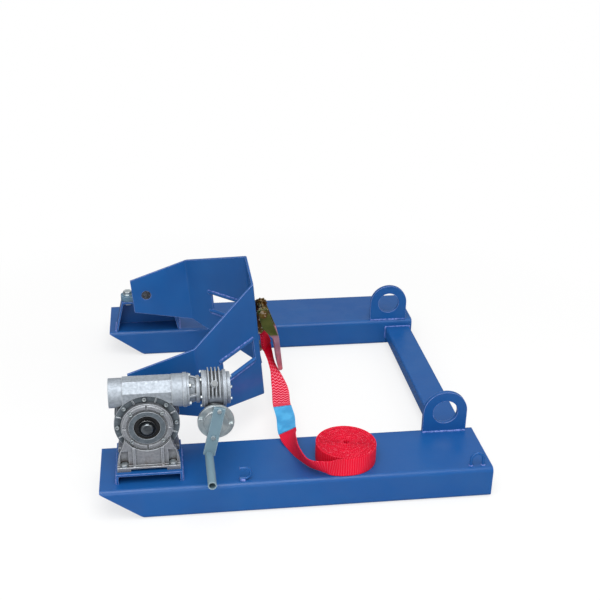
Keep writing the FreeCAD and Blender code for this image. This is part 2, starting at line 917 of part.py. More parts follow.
def bell():
    """The ribbed neck between the main gearbox and the first stage, with a spigot in each end's bore."""
    start = bell_end - bell_rim_width
    length = start - rim_end
    flange = rod("x", gear_y, worm_z, ear_radius, (rim_end, rim_end + bell_flange_width))
    cone = Part.makeCone(bell_cone_start, bell_cone_end, length, Vector(rim_end, gear_y, worm_z), AXES["x"])
    body = flange.fuse(cone)
    corners = [(rim_end, 0), (rim_end, ear_radius), (start, bell_rim_radius), (start, 0)]
    for i in range(bell_rib_count):
        rib = prism("xz", corners, (-half * bell_rib_width, half * bell_rib_width))
        rib.rotate(Vector(0, 0, 0), AXES["x"], full_turn * i / bell_rib_count)
        rib.translate(Vector(0, gear_y, worm_z))
        body = body.fuse(rib)
    seat = stage_start + stage_flange_width
    rounds = [
        (bell_rim_radius, start, bell_end),
        (neck_radius, bell_end, stage_start),
        (stage_rim_radius, stage_start, seat),
        (stage_chamber_radius - seat_gap, seat, seat + stage_spigot),
    ]
    for radius, low, high in rounds:
        body = body.fuse(rod("x", gear_y, worm_z, radius, (low, high)))
    body = body.removeSplitter()
    body = body.cut(rod("x", gear_y, worm_z, bell_bore, (rim_end - overrun, seat + stage_spigot + overrun)))
    for y, z in bell_screw_places():
        far = rim_end + bell_flange_width
        body = body.cut(rod("x", y, z, small_bolt + bolt_gap, (rim_end - overrun, far)))
        body = body.cut(rod("x", y, z, half * small_flats + loose_gap, (far, start)))
    for y, z in stage_screw_places():
        body = body.cut(rod("x", y, z, fine_bolt + bolt_gap, (stage_start - overrun, seat + overrun)))
    return body


def stage_screw_places():
    """Y and Z of the screws through the bell's large flange."""
    return [(gear_y + p, worm_z + q) for p, q in around(6, stage_screw_circle)]


def stage_cover_places():
    """Y and Z of the screws through the first stage's end cover."""
    return [(gear_y + p, worm_z + q) for p, q in around(6, stage_cover_circle, quarter_turn)]


def stage_housing():
    """The finned first-stage box with the nose that holds its worm."""
    start = stage_start + stage_flange_width
    body = rod("x", gear_y, worm_z, stage_radius, (start, stage_end))
    for x in (start, stage_end - stage_rim_width):
        body = body.fuse(rod("x", gear_y, worm_z, stage_rim_radius, (x, x + stage_rim_width)))
    first = stage_x - half * fin_pitch * (fin_count - 1)
    wide = (gear_y - fin_radius, gear_y + fin_radius)
    upper = box((stage_start, stage_end), wide, (worm_z, worm_z + fin_radius))
    for i in range(fin_count):
        x = first + i * fin_pitch - half * fin_thickness
        body = body.fuse(rod("x", gear_y, worm_z, fin_radius, (x, x + fin_thickness)).common(upper))
    body = body.fuse(rod("y", stage_x, input_z, nose_radius, side_y(FAR, -nose_front, nose_back)))
    body = body.fuse(plug_rod(boss_radius, stage_chamber_radius, boss_out)).removeSplitter()
    wall = stage_end - stage_wall
    body = body.cut(rod("x", gear_y, worm_z, stage_chamber_radius, (stage_start, wall)))
    body = body.cut(rod("x", gear_y, worm_z, stage_bearing_radius, (wall - overrun, stage_end + overrun)))
    tunnel = side_y(FAR, -nose_front - overrun, nose_back - nose_wall)
    body = body.cut(rod("y", stage_x, input_z, nose_chamber, tunnel))
    body = body.cut(plug_rod(plug_radius + seat_gap, stage_chamber_radius - overrun, boss_out + overrun))
    for y, z in stage_screw_places():
        body = body.cut(rod("x", y, z, fine_bolt + bolt_gap, (stage_start, start + screw_depth)))
    for y, z in stage_cover_places():
        body = body.cut(rod("x", y, z, fine_bolt + bolt_gap, (wall + loose_gap, stage_end + overrun)))
    return body


def plug_rod(radius, low, high):
    """A round bar along the filler plug's axis, between two distances from the wheel axis."""
    bar = Part.makeCylinder(radius, high - low, Vector(0, 0, low))
    bar.rotate(Vector(0, 0, 0), AXES["x"], plug_lean)
    bar.translate(Vector(stage_x, gear_y, worm_z))
    return bar


def filler_plug():
    """The hexagon plug on the first stage's boss."""
    head = hexagon("z", 0, 0, plug_flats, (boss_out, boss_out + plug_head))
    head.rotate(Vector(0, 0, 0), AXES["x"], plug_lean)
    head.translate(Vector(stage_x, gear_y, worm_z))
    return head.fuse(plug_rod(plug_radius, boss_out - plug_depth, boss_out)).removeSplitter()


def stage_cover():
    """The closed end cover of the first stage."""
    ends = (stage_end, stage_end + stage_cover_width)
    body = rod("x", gear_y, worm_z, stage_cover_radius, ends)
    for y, z in stage_cover_places():
        body = body.cut(rod("x", y, z, fine_bolt + bolt_gap, (ends[0] - overrun, ends[1] + overrun)))
    return body


def bell_screws():
    """Screws that hold the bell on the main gearbox."""
    seat = rim_end + bell_flange_width
    tip = rim_end - screw_depth + bolt_gap
    return Part.makeCompound(
        [bolt("x", y, z, small_bolt, small_flats, small_head, tip, seat) for y, z in bell_screw_places()]
    )


def stage_screws():
    """Screws at both ends of the first stage."""
    start = stage_start + stage_flange_width
    seat = stage_end + stage_cover_width
    tip = stage_end - stage_wall + loose_gap + bolt_gap
    inlet = [
        bolt("x", y, z, fine_bolt, fine_flats, fine_head, start + screw_depth - bolt_gap, stage_start)
        for y, z in stage_screw_places()
    ]
    outlet = [bolt("x", y, z, fine_bolt, fine_flats, fine_head, tip, seat) for y, z in stage_cover_places()]
    return Part.makeCompound(inlet + outlet)


def input_bearings():
    """The bearings that carry the first worm."""
    outer = nose_chamber - seat_gap
    inner = input_radius + running_gap
    front = nose_front - input_seal_width
    near = side_y(NEAR, front, front - input_bearing_width)
    deep = nose_back - nose_wall
    far = side_y(FAR, deep, deep - input_bearing_width)
    return Part.makeCompound([ring("y", stage_x, input_z, outer, inner, ends) for ends in (near, far)])


def input_seal():
    """The lip seal at the front of the nose."""
    ends = side_y(NEAR, nose_front - input_seal_width, nose_front)
    return ring("y", stage_x, input_z, nose_chamber - seat_gap, input_radius + running_gap, ends)


# Crank


def crank_place(shape):
    """Turns a crank piece made upright at the origin and puts it on the input axis."""
    shape.rotate(Vector(0, 0, 0), AXES["y"], crank_angle)
    shape.translate(Vector(stage_x, 0, input_z))
    return shape


def crank_disc():
    """The round plate keyed on the input shaft."""
    y = (disc_y, disc_y - disc_thickness)
    hub = rod("y", 0, 0, disc_hub_radius, (disc_y, arm_y))
    disc = rod("y", 0, 0, disc_radius, y).fuse(hub).removeSplitter()
    disc = disc.cut(rod("y", 0, 0, input_radius + seat_gap, (disc_y + overrun, disc_y - disc_thickness)))
    for p, q in around(4, crank_bolt_circle):
        disc = disc.cut(rod("y", p, q, small_bolt + bolt_gap, (disc_y + overrun, arm_y - overrun)))
    return crank_place(disc)


def crank_arm():
    """The flat arm bolted across the disc, hollowed at its end to take the handle."""
    y = (arm_y, arm_y - arm_thickness)
    through = (arm_y + overrun, arm_y - arm_thickness - overrun)
    arm = box((-half * arm_width, half * arm_width), y, (-crank_throw, arm_above))
    arm = arm.cut(rod("y", 0, -crank_throw, handle_radius + seat_gap, through))
    for q in (-crank_bolt_circle, crank_bolt_circle):
        arm = arm.cut(rod("y", 0, q, small_bolt + bolt_gap, through))
    return crank_place(arm)


def crank_handle():
    """The open tube welded to the end of the arm."""
    y = (arm_y, arm_y - handle_length)
    return crank_place(ring("y", 0, -crank_throw, handle_radius, handle_radius - handle_wall, y))


def crank_bolts():
    """Two bolts through arm and disc and two in the disc alone."""
    bolts = []
    for p, q in around(4, crank_bolt_circle):
        seat = arm_y - arm_thickness if abs(p) < seat_gap else disc_y - disc_thickness
        bolts.append(bolt("y", p, q, small_bolt, small_flats, small_head, disc_y, seat))
    return crank_place(Part.makeCompound(bolts))


# Far bearing


def pillow_block():
    """The cast bearing housing on the far stand: a foot with a round-topped eye."""
    y = (block_y - block_half_width, block_y + block_half_width)
    foot = box(
        (pivot_x - block_half_length, pivot_x + block_half_length), y, (block_base, block_base + block_foot)
    )
    foot = rounded(foot, "z", block_half_width - loose_gap)
    eye_y = (y[0] + loose_gap, y[1] - loose_gap)
    hump = rod("y", pivot_x, pivot_z, block_hump, eye_y)
    neck = box((pivot_x - block_hump, pivot_x + block_hump), eye_y, (block_base, pivot_z))
    body = foot.fuse([hump, neck]).removeSplitter()
    body = body.cut(rod("y", pivot_x, pivot_z, block_bore, (y[0] - overrun, y[1] + overrun)))
    for x in block_bolt_places():
        body = body.cut(rod("z", x, block_y, block_bolt + bolt_gap, (block_base - overrun, pivot_z)))
    return body


def pillow_insert():
    """The plain bush held in the block."""
    y = (block_y - insert_half_width, block_y + insert_half_width)
    return ring("y", pivot_x, pivot_z, block_bore - seat_gap, pivot_radius + running_gap, y)


def block_bolts():
    """Bolts down through the pillow block and the far stand."""
    seat = block_base + block_foot + washer_height
    tip = block_base - stand_plate - block_head
    return Part.makeCompound(
        [bolt("z", x, block_y, block_bolt, block_flats, block_head, tip, seat) for x in block_bolt_places()]
    )


def block_washers():
    """Washers under the bolt heads."""
    low = block_base + block_foot
    wide = half * block_flats * washer_share
    hole = block_bolt + bolt_gap
    return Part.makeCompound(
        [ring("z", x, block_y, wide, hole, (low, low + washer_height)) for x in block_bolt_places()]
    )


def block_nuts():
    """Nuts under the far stand."""
    under = block_base - stand_plate
    return Part.makeCompound(
        [nut(x, block_y, block_flats, block_bolt, block_head, under) for x in block_bolt_places()]
    )


# Cradle


def shifted_path(points, distance):
    """A path of straight runs moved sideways, its corners kept sharp."""
    runs = []
    for (x0, y0), (x1, y1) in zip(points, points[1:]):
        length = math.hypot(x1 - x0, y1 - y0)
        nx, ny = -(y1 - y0) / length * distance, (x1 - x0) / length * distance
        runs.append(((x0 + nx, y0 + ny), (x1 - x0, y1 - y0), (x1 + nx, y1 + ny)))
    moved = [runs[0][0]]
    for (p, d, end), (q, e, last) in zip(runs, runs[1:]):
        across = d[0] * e[1] - d[1] * e[0]
        k = ((q[0] - p[0]) * e[1] - (q[1] - p[1]) * e[0]) / across
        moved.append((p[0] + k * d[0], p[1] + k * d[1]))
    moved.append(runs[-1][2])
    return moved


def cradle_shell():
    """One plate folded four times, with edges that run straight across the flat blank."""
    path = [(-tip_reach, wing_half_gap), (fold_reach, wing_half_gap), (back_reach, back_half_width)]
    path += [(x, -y) for x, y in reversed(path)]
    path = [(pivot_x + x, y) for x, y in path]
    outer = shifted_path(path, half * cradle_plate)
    inner = shifted_path(path, -half * cradle_plate)
    shell = prism("xy", outer + inner[::-1], (pivot_z - back_half_height, pivot_z + back_half_height))
    for line, radius in ((outer, bend_radius + cradle_plate), (inner, bend_radius)):
        for x, y in line[1:-1]:
            edge = [e for e in shell.Edges if near_upright(e, x, y)]
            shell = shell.makeFillet(radius, edge)
    top = [(-tip_reach, tip_half_height), (fold_reach, fold_half_height), (back_reach, back_half_height)]
    top.append((back_reach + cradle_plate, back_half_height))
    outline = top + [(x, -z) for x, z in reversed(top)]
    outline = [(pivot_x + x, pivot_z + z) for x, z in outline]
    wide = wing_outer + overrun
    shell = shell.common(prism("xz", outline, (-wide, wide)))
    for side in (NEAR, FAR):
        for hole in strap_window():
            shell = shell.cut(on_diagonal(hole, side))
    shell = shell.cut(rod("y", pivot_x, pivot_z, pivot_radius, (-wide, wide)))
    return tilted(shell)


def near_upright(edge, x, y):
    """Whether an edge is the upright one at a place in plan."""
    point = edge.valueAt(edge.FirstParameter)
    along = edge.tangentAt(edge.FirstParameter)
    return abs(along.z) > 1 - 1e-6 and math.hypot(point.x - x, point.y - y) < seat_gap


def on_diagonal(shape, side):
    """Places a shape made along local X on the middle of one diagonal, X from the wing fold."""
    run = back_reach - fold_reach
    drop = wing_half_gap - back_half_width
    placed = shape.copy()
    placed.rotate(Vector(0, 0, 0), AXES["z"], -side * math.degrees(math.atan2(drop, run)))
    placed.translate(Vector(pivot_x + fold_reach, side * wing_half_gap, pivot_z))
    return placed


def strap_window():
    """The cuts of one window: the opening and the seats of its two guide bars."""
    deep = (-cradle_plate - overrun, cradle_plate + overrun)
    high = window_top + 2 * guide_radius
    low = window_bottom - 2 * guide_radius
    seat = (guide_start, window_start + overrun)
    return [
        box((window_start, window_end), deep, (low, high)),
        box(seat, deep, (window_top, high)),
        box(seat, deep, (low, window_bottom)),
    ]


def strap_guides():
    """Round bars welded along the top and bottom of both windows."""
    bars = []
    for side in (NEAR, FAR):
        for z in (window_top + guide_radius, window_bottom - guide_radius):
            bar = rod("x", 0, z, guide_radius, (guide_start, window_end))
            bars.append(tilted(on_diagonal(bar, side)))
    return Part.makeCompound(bars)


def near_shaft():
    """The shaft that carries the cradle in the gearbox."""
    radius = pivot_radius - seat_gap
    shoulder = gear_y - sleeve_out - shaft_overhang + shaft_chamfer
    tip = Part.makeCone(
        radius, radius - shaft_chamfer, shaft_chamfer, Vector(pivot_x, shoulder, pivot_z), -AXES["y"]
    )
    collar = rod("y", pivot_x, pivot_z, collar_radius, (-wing_outer, -wing_outer - collar_width))
    shaft = rod("y", pivot_x, pivot_z, radius, (pin_recess - wing_half_gap, shoulder))
    return shaft.fuse([collar, tip]).removeSplitter().cut(key_bar(seat_gap))


def shaft_key():
    """The key between the shaft and the hollow shaft."""
    return key_bar(0)


def key_bar(room):
    """A straight key along the shaft with some room on its sides."""
    reach = half * key_width + room
    bottom = pivot_z + pivot_radius - half * key_height - room
    x = (pivot_x - reach, pivot_x + reach)
    y = side_y(FAR, -half * key_length - room, half * key_length + room)
    return box(x, y, (bottom, bottom + key_height + 2 * room))


def hollow_shaft():
    """The sleeve that the worm wheel turns."""
    body = ring("y", pivot_x, pivot_z, sleeve_radius, pivot_radius, side_y(FAR, -sleeve_out, sleeve_out))
    return body.cut(key_bar(seat_gap))


def far_pin():
    """The stub that carries the cradle in the pillow block."""
    start = wing_outer
    collar = rod("y", pivot_x, pivot_z, collar_radius, (start, start + collar_width))
    end = block_y + insert_half_width + pin_overhang
    pin = rod("y", pivot_x, pivot_z, pivot_radius - seat_gap, (wing_half_gap - pin_recess * half, end))
    return pin.fuse(collar).removeSplitter()


def anchor_bar():
    """A straight round bar welded across the back of the cradle, below the buckle."""
    x = back_outer + bar_radius + seat_gap
    return tilted(rod("y", x, pivot_z + bar_height, bar_radius, (-bar_half_width, bar_half_width)))


# Ratchet buckle


def both_sides(shape):
    """A piece at positive Y and its mirror image."""
    return [shape, shape.mirror(Vector(0, 0, 0), AXES["y"])]


def ratchet_frame():
    """Two side plates on a back plate whose lower end is rolled, against the outside of the cradle."""
    y = (ratchet_half_width, ratchet_half_width + ratchet_plate)
    bottom = pivot_z + ratchet_bottom
    low = anchor_x + anchor_margin
    outline = [
        (back_outer, spool_z),
        (spool_x, spool_z + ratchet_eye),
        (spool_x + ratchet_eye, spool_z),
        (low, anchor_z + anchor_margin),
        (low, bottom + anchor_margin),
        (anchor_x, bottom),
        (back_outer, bottom),
    ]
    through = (0, y[1] + overrun)
    cheek = prism("xz", outline, y).fuse(rod("y", spool_x, spool_z, ratchet_eye, y)).removeSplitter()
    cheek = cheek.cut(rod("y", spool_x, spool_z, spool_radius + running_gap, through))
    cheek = cheek.cut(rod("y", anchor_x, anchor_z, anchor_radius + seat_gap, through))
    cheek = cheek.cut(lock_plate(side_gap, pawl_travel))
    inside = (-ratchet_half_width, ratchet_half_width)
    tongue = pivot_z + tongue_bottom
    back = box((back_outer, back_outer + ratchet_plate), inside, (tongue, spool_z))
    roll = rod("y", back_outer + tongue_roll, tongue, tongue_roll, inside)
    cheeks = both_sides(cheek)
    return tilted(cheeks[0].fuse([cheeks[1], back, roll]).removeSplitter())


def pawl_reach():
    """Half the length of the cross plates that lock the ratchet wheels."""
    return ratchet_half_width + 2 * ratchet_plate + side_gap


def pawl_top(offset):
    """How far below the spool a cross plate at a sideways offset just clears the teeth."""
    nearest = abs(offset) - half * pawl_thickness
    return math.sqrt((ratchet_wheel_radius + side_gap) ** 2 - nearest**2)


def cross_plate(offset, room, travel):
    """A cross plate below the spool, with room round it and room to travel up."""
    middle = spool_x + offset
    high = spool_z - pawl_top(offset)
    reach = half * pawl_thickness + room
    x = (middle - reach, middle + reach)
    return box(x, (-pawl_reach(), pawl_reach()), (high - pawl_depth - room, high + room + travel))


def lock_plate(room, travel):
    """The space of the lock pawl."""
    return cross_plate(lock_offset, room, travel)


def lock_pawl():
    """The cross plate that locks the spool when it slides up into the teeth."""
    return tilted(lock_plate(0, 0))


def handle_pawl():
    """The cross plate in the handle that drives the teeth when it slides up."""
    return handle_turned(cross_plate(handle_pawl_offset, 0, 0))


def anchor_bolt():
    """The cross bolt at the foot of the buckle."""
    reach = ratchet_half_width + ratchet_plate + side_gap
    return tilted(rod("y", anchor_x, anchor_z, anchor_radius, (-reach, reach)))


def spool():
    """The slotted winding shaft with a flange at each end."""
    reach = ratchet_half_width + 4 * ratchet_plate + side_gap
    shaft = rod("y", spool_x, spool_z, spool_radius, (-reach, reach))
    flange = rod("y", spool_x, spool_z, spool_radius + ratchet_plate, (reach, reach + ratchet_plate))
    shaft = shaft.fuse(both_sides(flange)).removeSplitter()
    slot = (spool_x - half * spool_slot, spool_x + half * spool_slot)
    long = (-half * webbing_width - loose_gap, half * webbing_width + loose_gap)
    high = (spool_z - spool_radius - overrun, spool_z + spool_radius + overrun)
    return tilted(shaft.cut(box(slot, long, high)))


def ratchet_wheels():
    """The two toothed wheels on the spool."""
    start = ratchet_half_width + ratchet_plate + side_gap
    step = full_turn / ratchet_teeth
    points = []
    for i in range(ratchet_teeth):
        tip, root = math.radians(step * i), math.radians(step * (i + 1) - step * half * half)
        points.append((ratchet_wheel_radius * math.cos(tip), ratchet_wheel_radius * math.sin(tip)))
        depth = ratchet_wheel_radius - ratchet_tooth
        points.append((depth * math.cos(root), depth * math.sin(root)))
    wheel = prism("xz", [(spool_x + x, spool_z + z) for x, z in points], (start, start + ratchet_plate))
    wheel = wheel.cut(rod("y", spool_x, spool_z, spool_radius + seat_gap, (0, start + 2 * ratchet_plate)))
    return tilted(Part.makeCompound(both_sides(wheel)))


def handle_turned(shape):
    """A handle piece made hanging straight down from the spool, swung out to where it rests."""
    shape.rotate(Vector(spool_x, 0, spool_z), AXES["y"], -handle_rest)
    return tilted(shape)


def ratchet_handle():
    """Two cheeks on the spool that bend inward to a folded grip."""
    start = pawl_reach() + side_gap
    y = (start, start + ratchet_plate)
    knee = -half * elbow_drop
    outline = [
        (-handle_eye, knee),
        (-handle_eye, handle_eye),
        (handle_eye, handle_eye),
        (elbow_outer, -elbow_drop),
        (grip_outer, -grip_drop),
        (grip_inner, -grip_drop),
        (elbow_inner, -elbow_drop),
    ]
    cheek = prism("xz", [(spool_x + x, spool_z + z) for x, z in outline], y)
    cheek = cheek.cut(rod("y", spool_x, spool_z, spool_radius + running_gap, (0, y[1] + overrun)))
    skin_outline = [
        (elbow_outer, -elbow_drop),
        (grip_outer, -grip_drop),
        (grip_outer - ratchet_plate, -grip_drop),
        (elbow_outer - ratchet_plate, -elbow_drop),
    ]
    skin = prism("xz", [(spool_x + x, spool_z + z) for x, z in skin_outline], (-start, start))
    roll_x = spool_x + half * (grip_inner + grip_outer)
    roll = rod("y", roll_x, spool_z - grip_drop, half * (grip_outer - grip_inner), (-y[1], y[1]))
    cheeks = both_sides(cheek)
    return handle_turned(cheeks[0].fuse([cheeks[1], skin, roll]).removeSplitter())


def webbing_loop():
    """The sewn eye of the long webbing round the buckle's bolt."""
    return tilted(eye_room(webbing_thickness).cut(eye_room(0)))


def eye_room(extra):
    """The space inside the eye, round the bolt and drawn in to its lower end, grown by some thickness."""
    tip_x, tip_z = anchor_x + eye_out, anchor_z - eye_drop
    length = math.hypot(eye_out, eye_drop)
    along = (eye_out / length, -eye_drop / length)
    top, low = anchor_radius + running_gap + extra, side_gap + extra
    sine = (top - low) / length
    cosine = math.sqrt(1 - sine**2)
    outline = []
    for side in (1, -1):
        out_x = sine * along[0] - side * cosine * along[1]
        out_z = sine * along[1] + side * cosine * along[0]
        run = [(anchor_x + top * out_x, anchor_z + top * out_z), (tip_x + low * out_x, tip_z + low * out_z)]
        outline += run[::side]
    y = (-half * webbing_width, half * webbing_width)
    ends = [rod("y", anchor_x, anchor_z, top, y), rod("y", tip_x, tip_z, low, y)]
    return prism("xz", outline, y).fuse(ends).removeSplitter()


# Long webbing


def coil_line(offset):
    """Half-turn arcs of the coil, moved outward by an offset, as (centre, radius, start angle)."""
    arcs = []
    centre = (coil_x, coil_y)
    for i in range(2 * coil_turns):
        radius = coil_radius - half * webbing_thickness - half * coil_pitch * i
        start = coil_start + half_turn * i
        arcs.append((centre, radius + offset, start))
        turn = math.radians(start + half_turn)
        centre = (
            centre[0] + half * coil_pitch * math.cos(turn),
            centre[1] + half * coil_pitch * math.sin(turn),
        )
    return arcs


def arc_point(arc, share):
    """A point part of the way along a half-turn arc on the pocket's top."""
    (x, y), radius, start = arc
    turn = math.radians(start + half_turn * share)
    return Vector(x + radius * math.cos(turn), y + radius * math.sin(turn), pocket_height)


def webbing_coil():
    """The rolled-up webbing standing on edge on the near pocket, one unbroken band."""
    edge = half * webbing_thickness
    outer = coil_line(edge)
    inner = coil_line(-edge)
    curves = [Part.Arc(arc_point(a, 0), arc_point(a, half), arc_point(a, 1)).toShape() for a in outer]
    back = [Part.Arc(arc_point(a, 1), arc_point(a, half), arc_point(a, 0)).toShape() for a in reversed(inner)]
    close_in = Part.makeLine(arc_point(outer[-1], 1), arc_point(inner[-1], 1))
    close_out = Part.makeLine(arc_point(inner[0], 0), arc_point(outer[0], 0))
    face = Part.Face(Part.Wire(curves + [close_in] + back + [close_out]))
    print("least gap between the coil's turns, mm:", round(coil_gap(outer, inner), 3))
    return face.extrude(AXES["z"] * webbing_width)


def coil_gap(outer, inner):
    """The least distance from each turn's inner side to the next turn's outer side, on points."""
    shares = [i / 8 for i in range(9)]
    gaps = []
    for turn, under in zip(inner, outer[2:]):
        near = [arc_point(under, s) for s in shares]
        gaps += [min((arc_point(turn, s) - p).Length for p in near) for s in shares]
    return min(gaps)


def tail_stations():
    """Middle of the webbing and the way across it, from its eye to the coil."""
    stand = pocket_height + half * webbing_width
    turn = math.radians(coil_start)
    radius = coil_radius - half * webbing_thickness
    meet = Vector(coil_x + radius * math.cos(turn), coil_y + radius * math.sin(turn), stand)
    lead_in = Vector(-math.sin(turn), math.cos(turn), 0) * (half * webbing_width)
    bolt_middle = tilted(Part.Vertex(anchor_x, 0, anchor_z)).Point
    tip = tilted(Part.Vertex(anchor_x + eye_out, 0, anchor_z - eye_drop)).Point
    along = (tip - bolt_middle).normalize()
    laid = Vector(coil_x, coil_y, pocket_height)
    middles = [tip + along * (side_gap + webbing_thickness + bolt_gap)]
    middles += [tip + Vector(x, y, z) for x, y, z in tail_hang]
    middles += [laid + Vector(x, y, z) for x, y, z in tail_lie] + [meet - lead_in, meet]
    ways = [Vector(x, y, z) for x, y, z in tail_across_shares] + [AXES["z"], AXES["z"]]
    return list(zip(middles, ways))


def webbing_tail():
    """The loose webbing from the buckle to the coil, turning from flat to on edge."""
    stations = tail_stations()
    wires = []
    for i, (middle, across) in enumerate(stations):
        before = stations[max(i - 1, 0)][0]
        after = stations[min(i + 1, len(stations) - 1)][0]
        along = (after - before).normalize()
        side = (across - along * across.dot(along)).normalize() * (half * webbing_width)
        up = along.cross(side).normalize() * (half * webbing_thickness)
        corners = [middle + side + up, middle - side + up, middle - side - up, middle + side - up]
        wires.append(Part.makePolygon(corners + corners[:1]))
    return Part.makeLoft(wires, True, True)


PIECES = {
    "near_fork_pocket": lambda: fork_pocket(NEAR),
    "far_fork_pocket": lambda: fork_pocket(FAR),
    "rear_tube": rear_tube,
    "near_lug": lambda: chain_lug(NEAR),
    "far_lug": lambda: chain_lug(FAR),
    "tie_hook": tie_hook,
    "tie_staple": tie_staple,
    "near_stand": near_stand,
    "far_stand": far_stand,
    "gearbox_housing": gearbox_housing,
    "near_cover": lambda: cover(NEAR),
    "far_cover": lambda: cover(FAR),
    "near_foot": lambda: foot_bracket(NEAR),
    "far_foot": lambda: foot_bracket(FAR),
    "worm_end_cap": worm_end_cap,
    "cover_screws": cover_screws,
    "foot_screws": foot_screws,
    "foot_bolts": foot_bolts,
    "foot_nuts": foot_nuts,
    "output_bearings": output_bearings,
    "output_seals": output_seals,
    "worm_bearings": worm_bearings,
    "worm_wheel": worm_wheel,
    "main_worm": main_worm,
    "stage_wheel": stage_wheel,
    "stage_worm": stage_worm,
    "bell": bell,
    "bell_screws": bell_screws,
    "stage_housing": stage_housing,
    "stage_cover": stage_cover,
    "stage_screws": stage_screws,
    "input_bearings": input_bearings,
    "input_seal": input_seal,
    "filler_plug": filler_plug,
    "crank_disc": crank_disc,
    "crank_arm": crank_arm,
    "crank_handle": crank_handle,
    "crank_bolts": crank_bolts,
    "pillow_block": pillow_block,
    "pillow_insert": pillow_insert,
    "block_bolts": block_bolts,
    "block_washers": block_washers,
    "block_nuts": block_nuts,
    "cradle_shell": cradle_shell,
    "strap_guides": strap_guides,
    "near_shaft": near_shaft,
    "shaft_key": shaft_key,
    "hollow_shaft": hollow_shaft,
    "far_pin": far_pin,
    "anchor_bar": anchor_bar,
    "ratchet_frame": ratchet_frame,
    "lock_pawl": lock_pawl,
    "anchor_bolt": anchor_bolt,
    "spool": spool,
    "ratchet_wheels": ratchet_wheels,
    "ratchet_handle": ratchet_handle,
    "handle_pawl": handle_pawl,
    "webbing_loop": webbing_loop,
    "webbing_coil": webbing_coil,
    "webbing_tail": webbing_tail,
}

handle_end = arm_y - handle_length
middle_y = half * (handle_end + outer_y)
to_part_frame = Vector(-half * pocket_length, -middle_y, 0)
os.makedirs("parts", exist_ok=True)
for name, make in PIECES.items():
    piece = make()
    piece.translate(to_part_frame)
    piece.exportStep("parts/" + name + ".step")
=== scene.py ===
import json
import math

import bmesh
import bpy
import numpy as np
from mathutils import Euler, Matrix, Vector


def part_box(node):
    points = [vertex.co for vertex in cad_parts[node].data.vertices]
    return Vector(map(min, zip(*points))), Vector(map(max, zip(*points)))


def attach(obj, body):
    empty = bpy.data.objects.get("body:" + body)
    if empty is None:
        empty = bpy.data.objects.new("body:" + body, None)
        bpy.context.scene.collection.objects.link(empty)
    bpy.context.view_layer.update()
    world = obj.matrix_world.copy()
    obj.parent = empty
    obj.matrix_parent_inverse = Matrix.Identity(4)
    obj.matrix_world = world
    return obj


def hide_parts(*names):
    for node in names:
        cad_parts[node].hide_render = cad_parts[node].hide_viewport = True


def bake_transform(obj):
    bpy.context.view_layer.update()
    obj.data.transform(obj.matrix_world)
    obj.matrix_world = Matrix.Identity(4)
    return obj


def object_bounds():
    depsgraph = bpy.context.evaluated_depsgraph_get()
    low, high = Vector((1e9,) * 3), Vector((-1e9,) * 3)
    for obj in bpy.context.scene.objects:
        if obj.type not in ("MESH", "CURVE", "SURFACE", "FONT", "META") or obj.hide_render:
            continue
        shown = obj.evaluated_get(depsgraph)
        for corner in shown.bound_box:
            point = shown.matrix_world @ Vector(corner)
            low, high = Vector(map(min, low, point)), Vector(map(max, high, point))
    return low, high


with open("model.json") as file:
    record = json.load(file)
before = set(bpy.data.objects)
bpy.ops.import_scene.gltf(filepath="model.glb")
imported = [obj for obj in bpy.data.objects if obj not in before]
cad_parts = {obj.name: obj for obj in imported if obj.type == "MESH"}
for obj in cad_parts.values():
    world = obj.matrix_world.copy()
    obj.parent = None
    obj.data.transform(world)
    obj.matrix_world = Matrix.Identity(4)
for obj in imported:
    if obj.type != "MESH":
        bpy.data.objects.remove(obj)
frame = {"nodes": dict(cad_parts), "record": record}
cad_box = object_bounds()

# Drum tipper: finishes for the steel frame, the cradle, the worm gearbox and the ratchet buckle.
# New pieces are the red lashing strap with its sewn eye and its label, the weld beads, and the
# back plate of the far stand. Metres, in the frame of the solids.

mm = 0.001
full_turn = 2 * math.pi

# Camera and light
camera_place = (-0.3206, -2.5684, 1.5503)
camera_turn_deg = (64.469, -0.508, -6.925)
camera_lens = 60.6
camera_shift = (0.0347, 0.0262)
floor_reach = 12.0
floor_drop = 0.4 * mm
lamps = {
    "key": {"place": (-0.2, -1.7, 3.2), "size": 2.4, "watts": 74},
    "front": {"place": (-1.2, -3.6, 1.0), "size": 2.4, "watts": 40},
    "side": {"place": (3.0, -0.6, 1.8), "size": 2.0, "watts": 16},
}
white_light = (1, 1, 1, 1)
floor_tone = "#F4F4F3"
floor_tone_in_gloss = "#7A7C80"
sky_low, sky_high = 0.22, 0.82
sky_rise = (0.1, 0.9)
shadow_share = 0.3
shadow_reach = (0.7, 1.6)

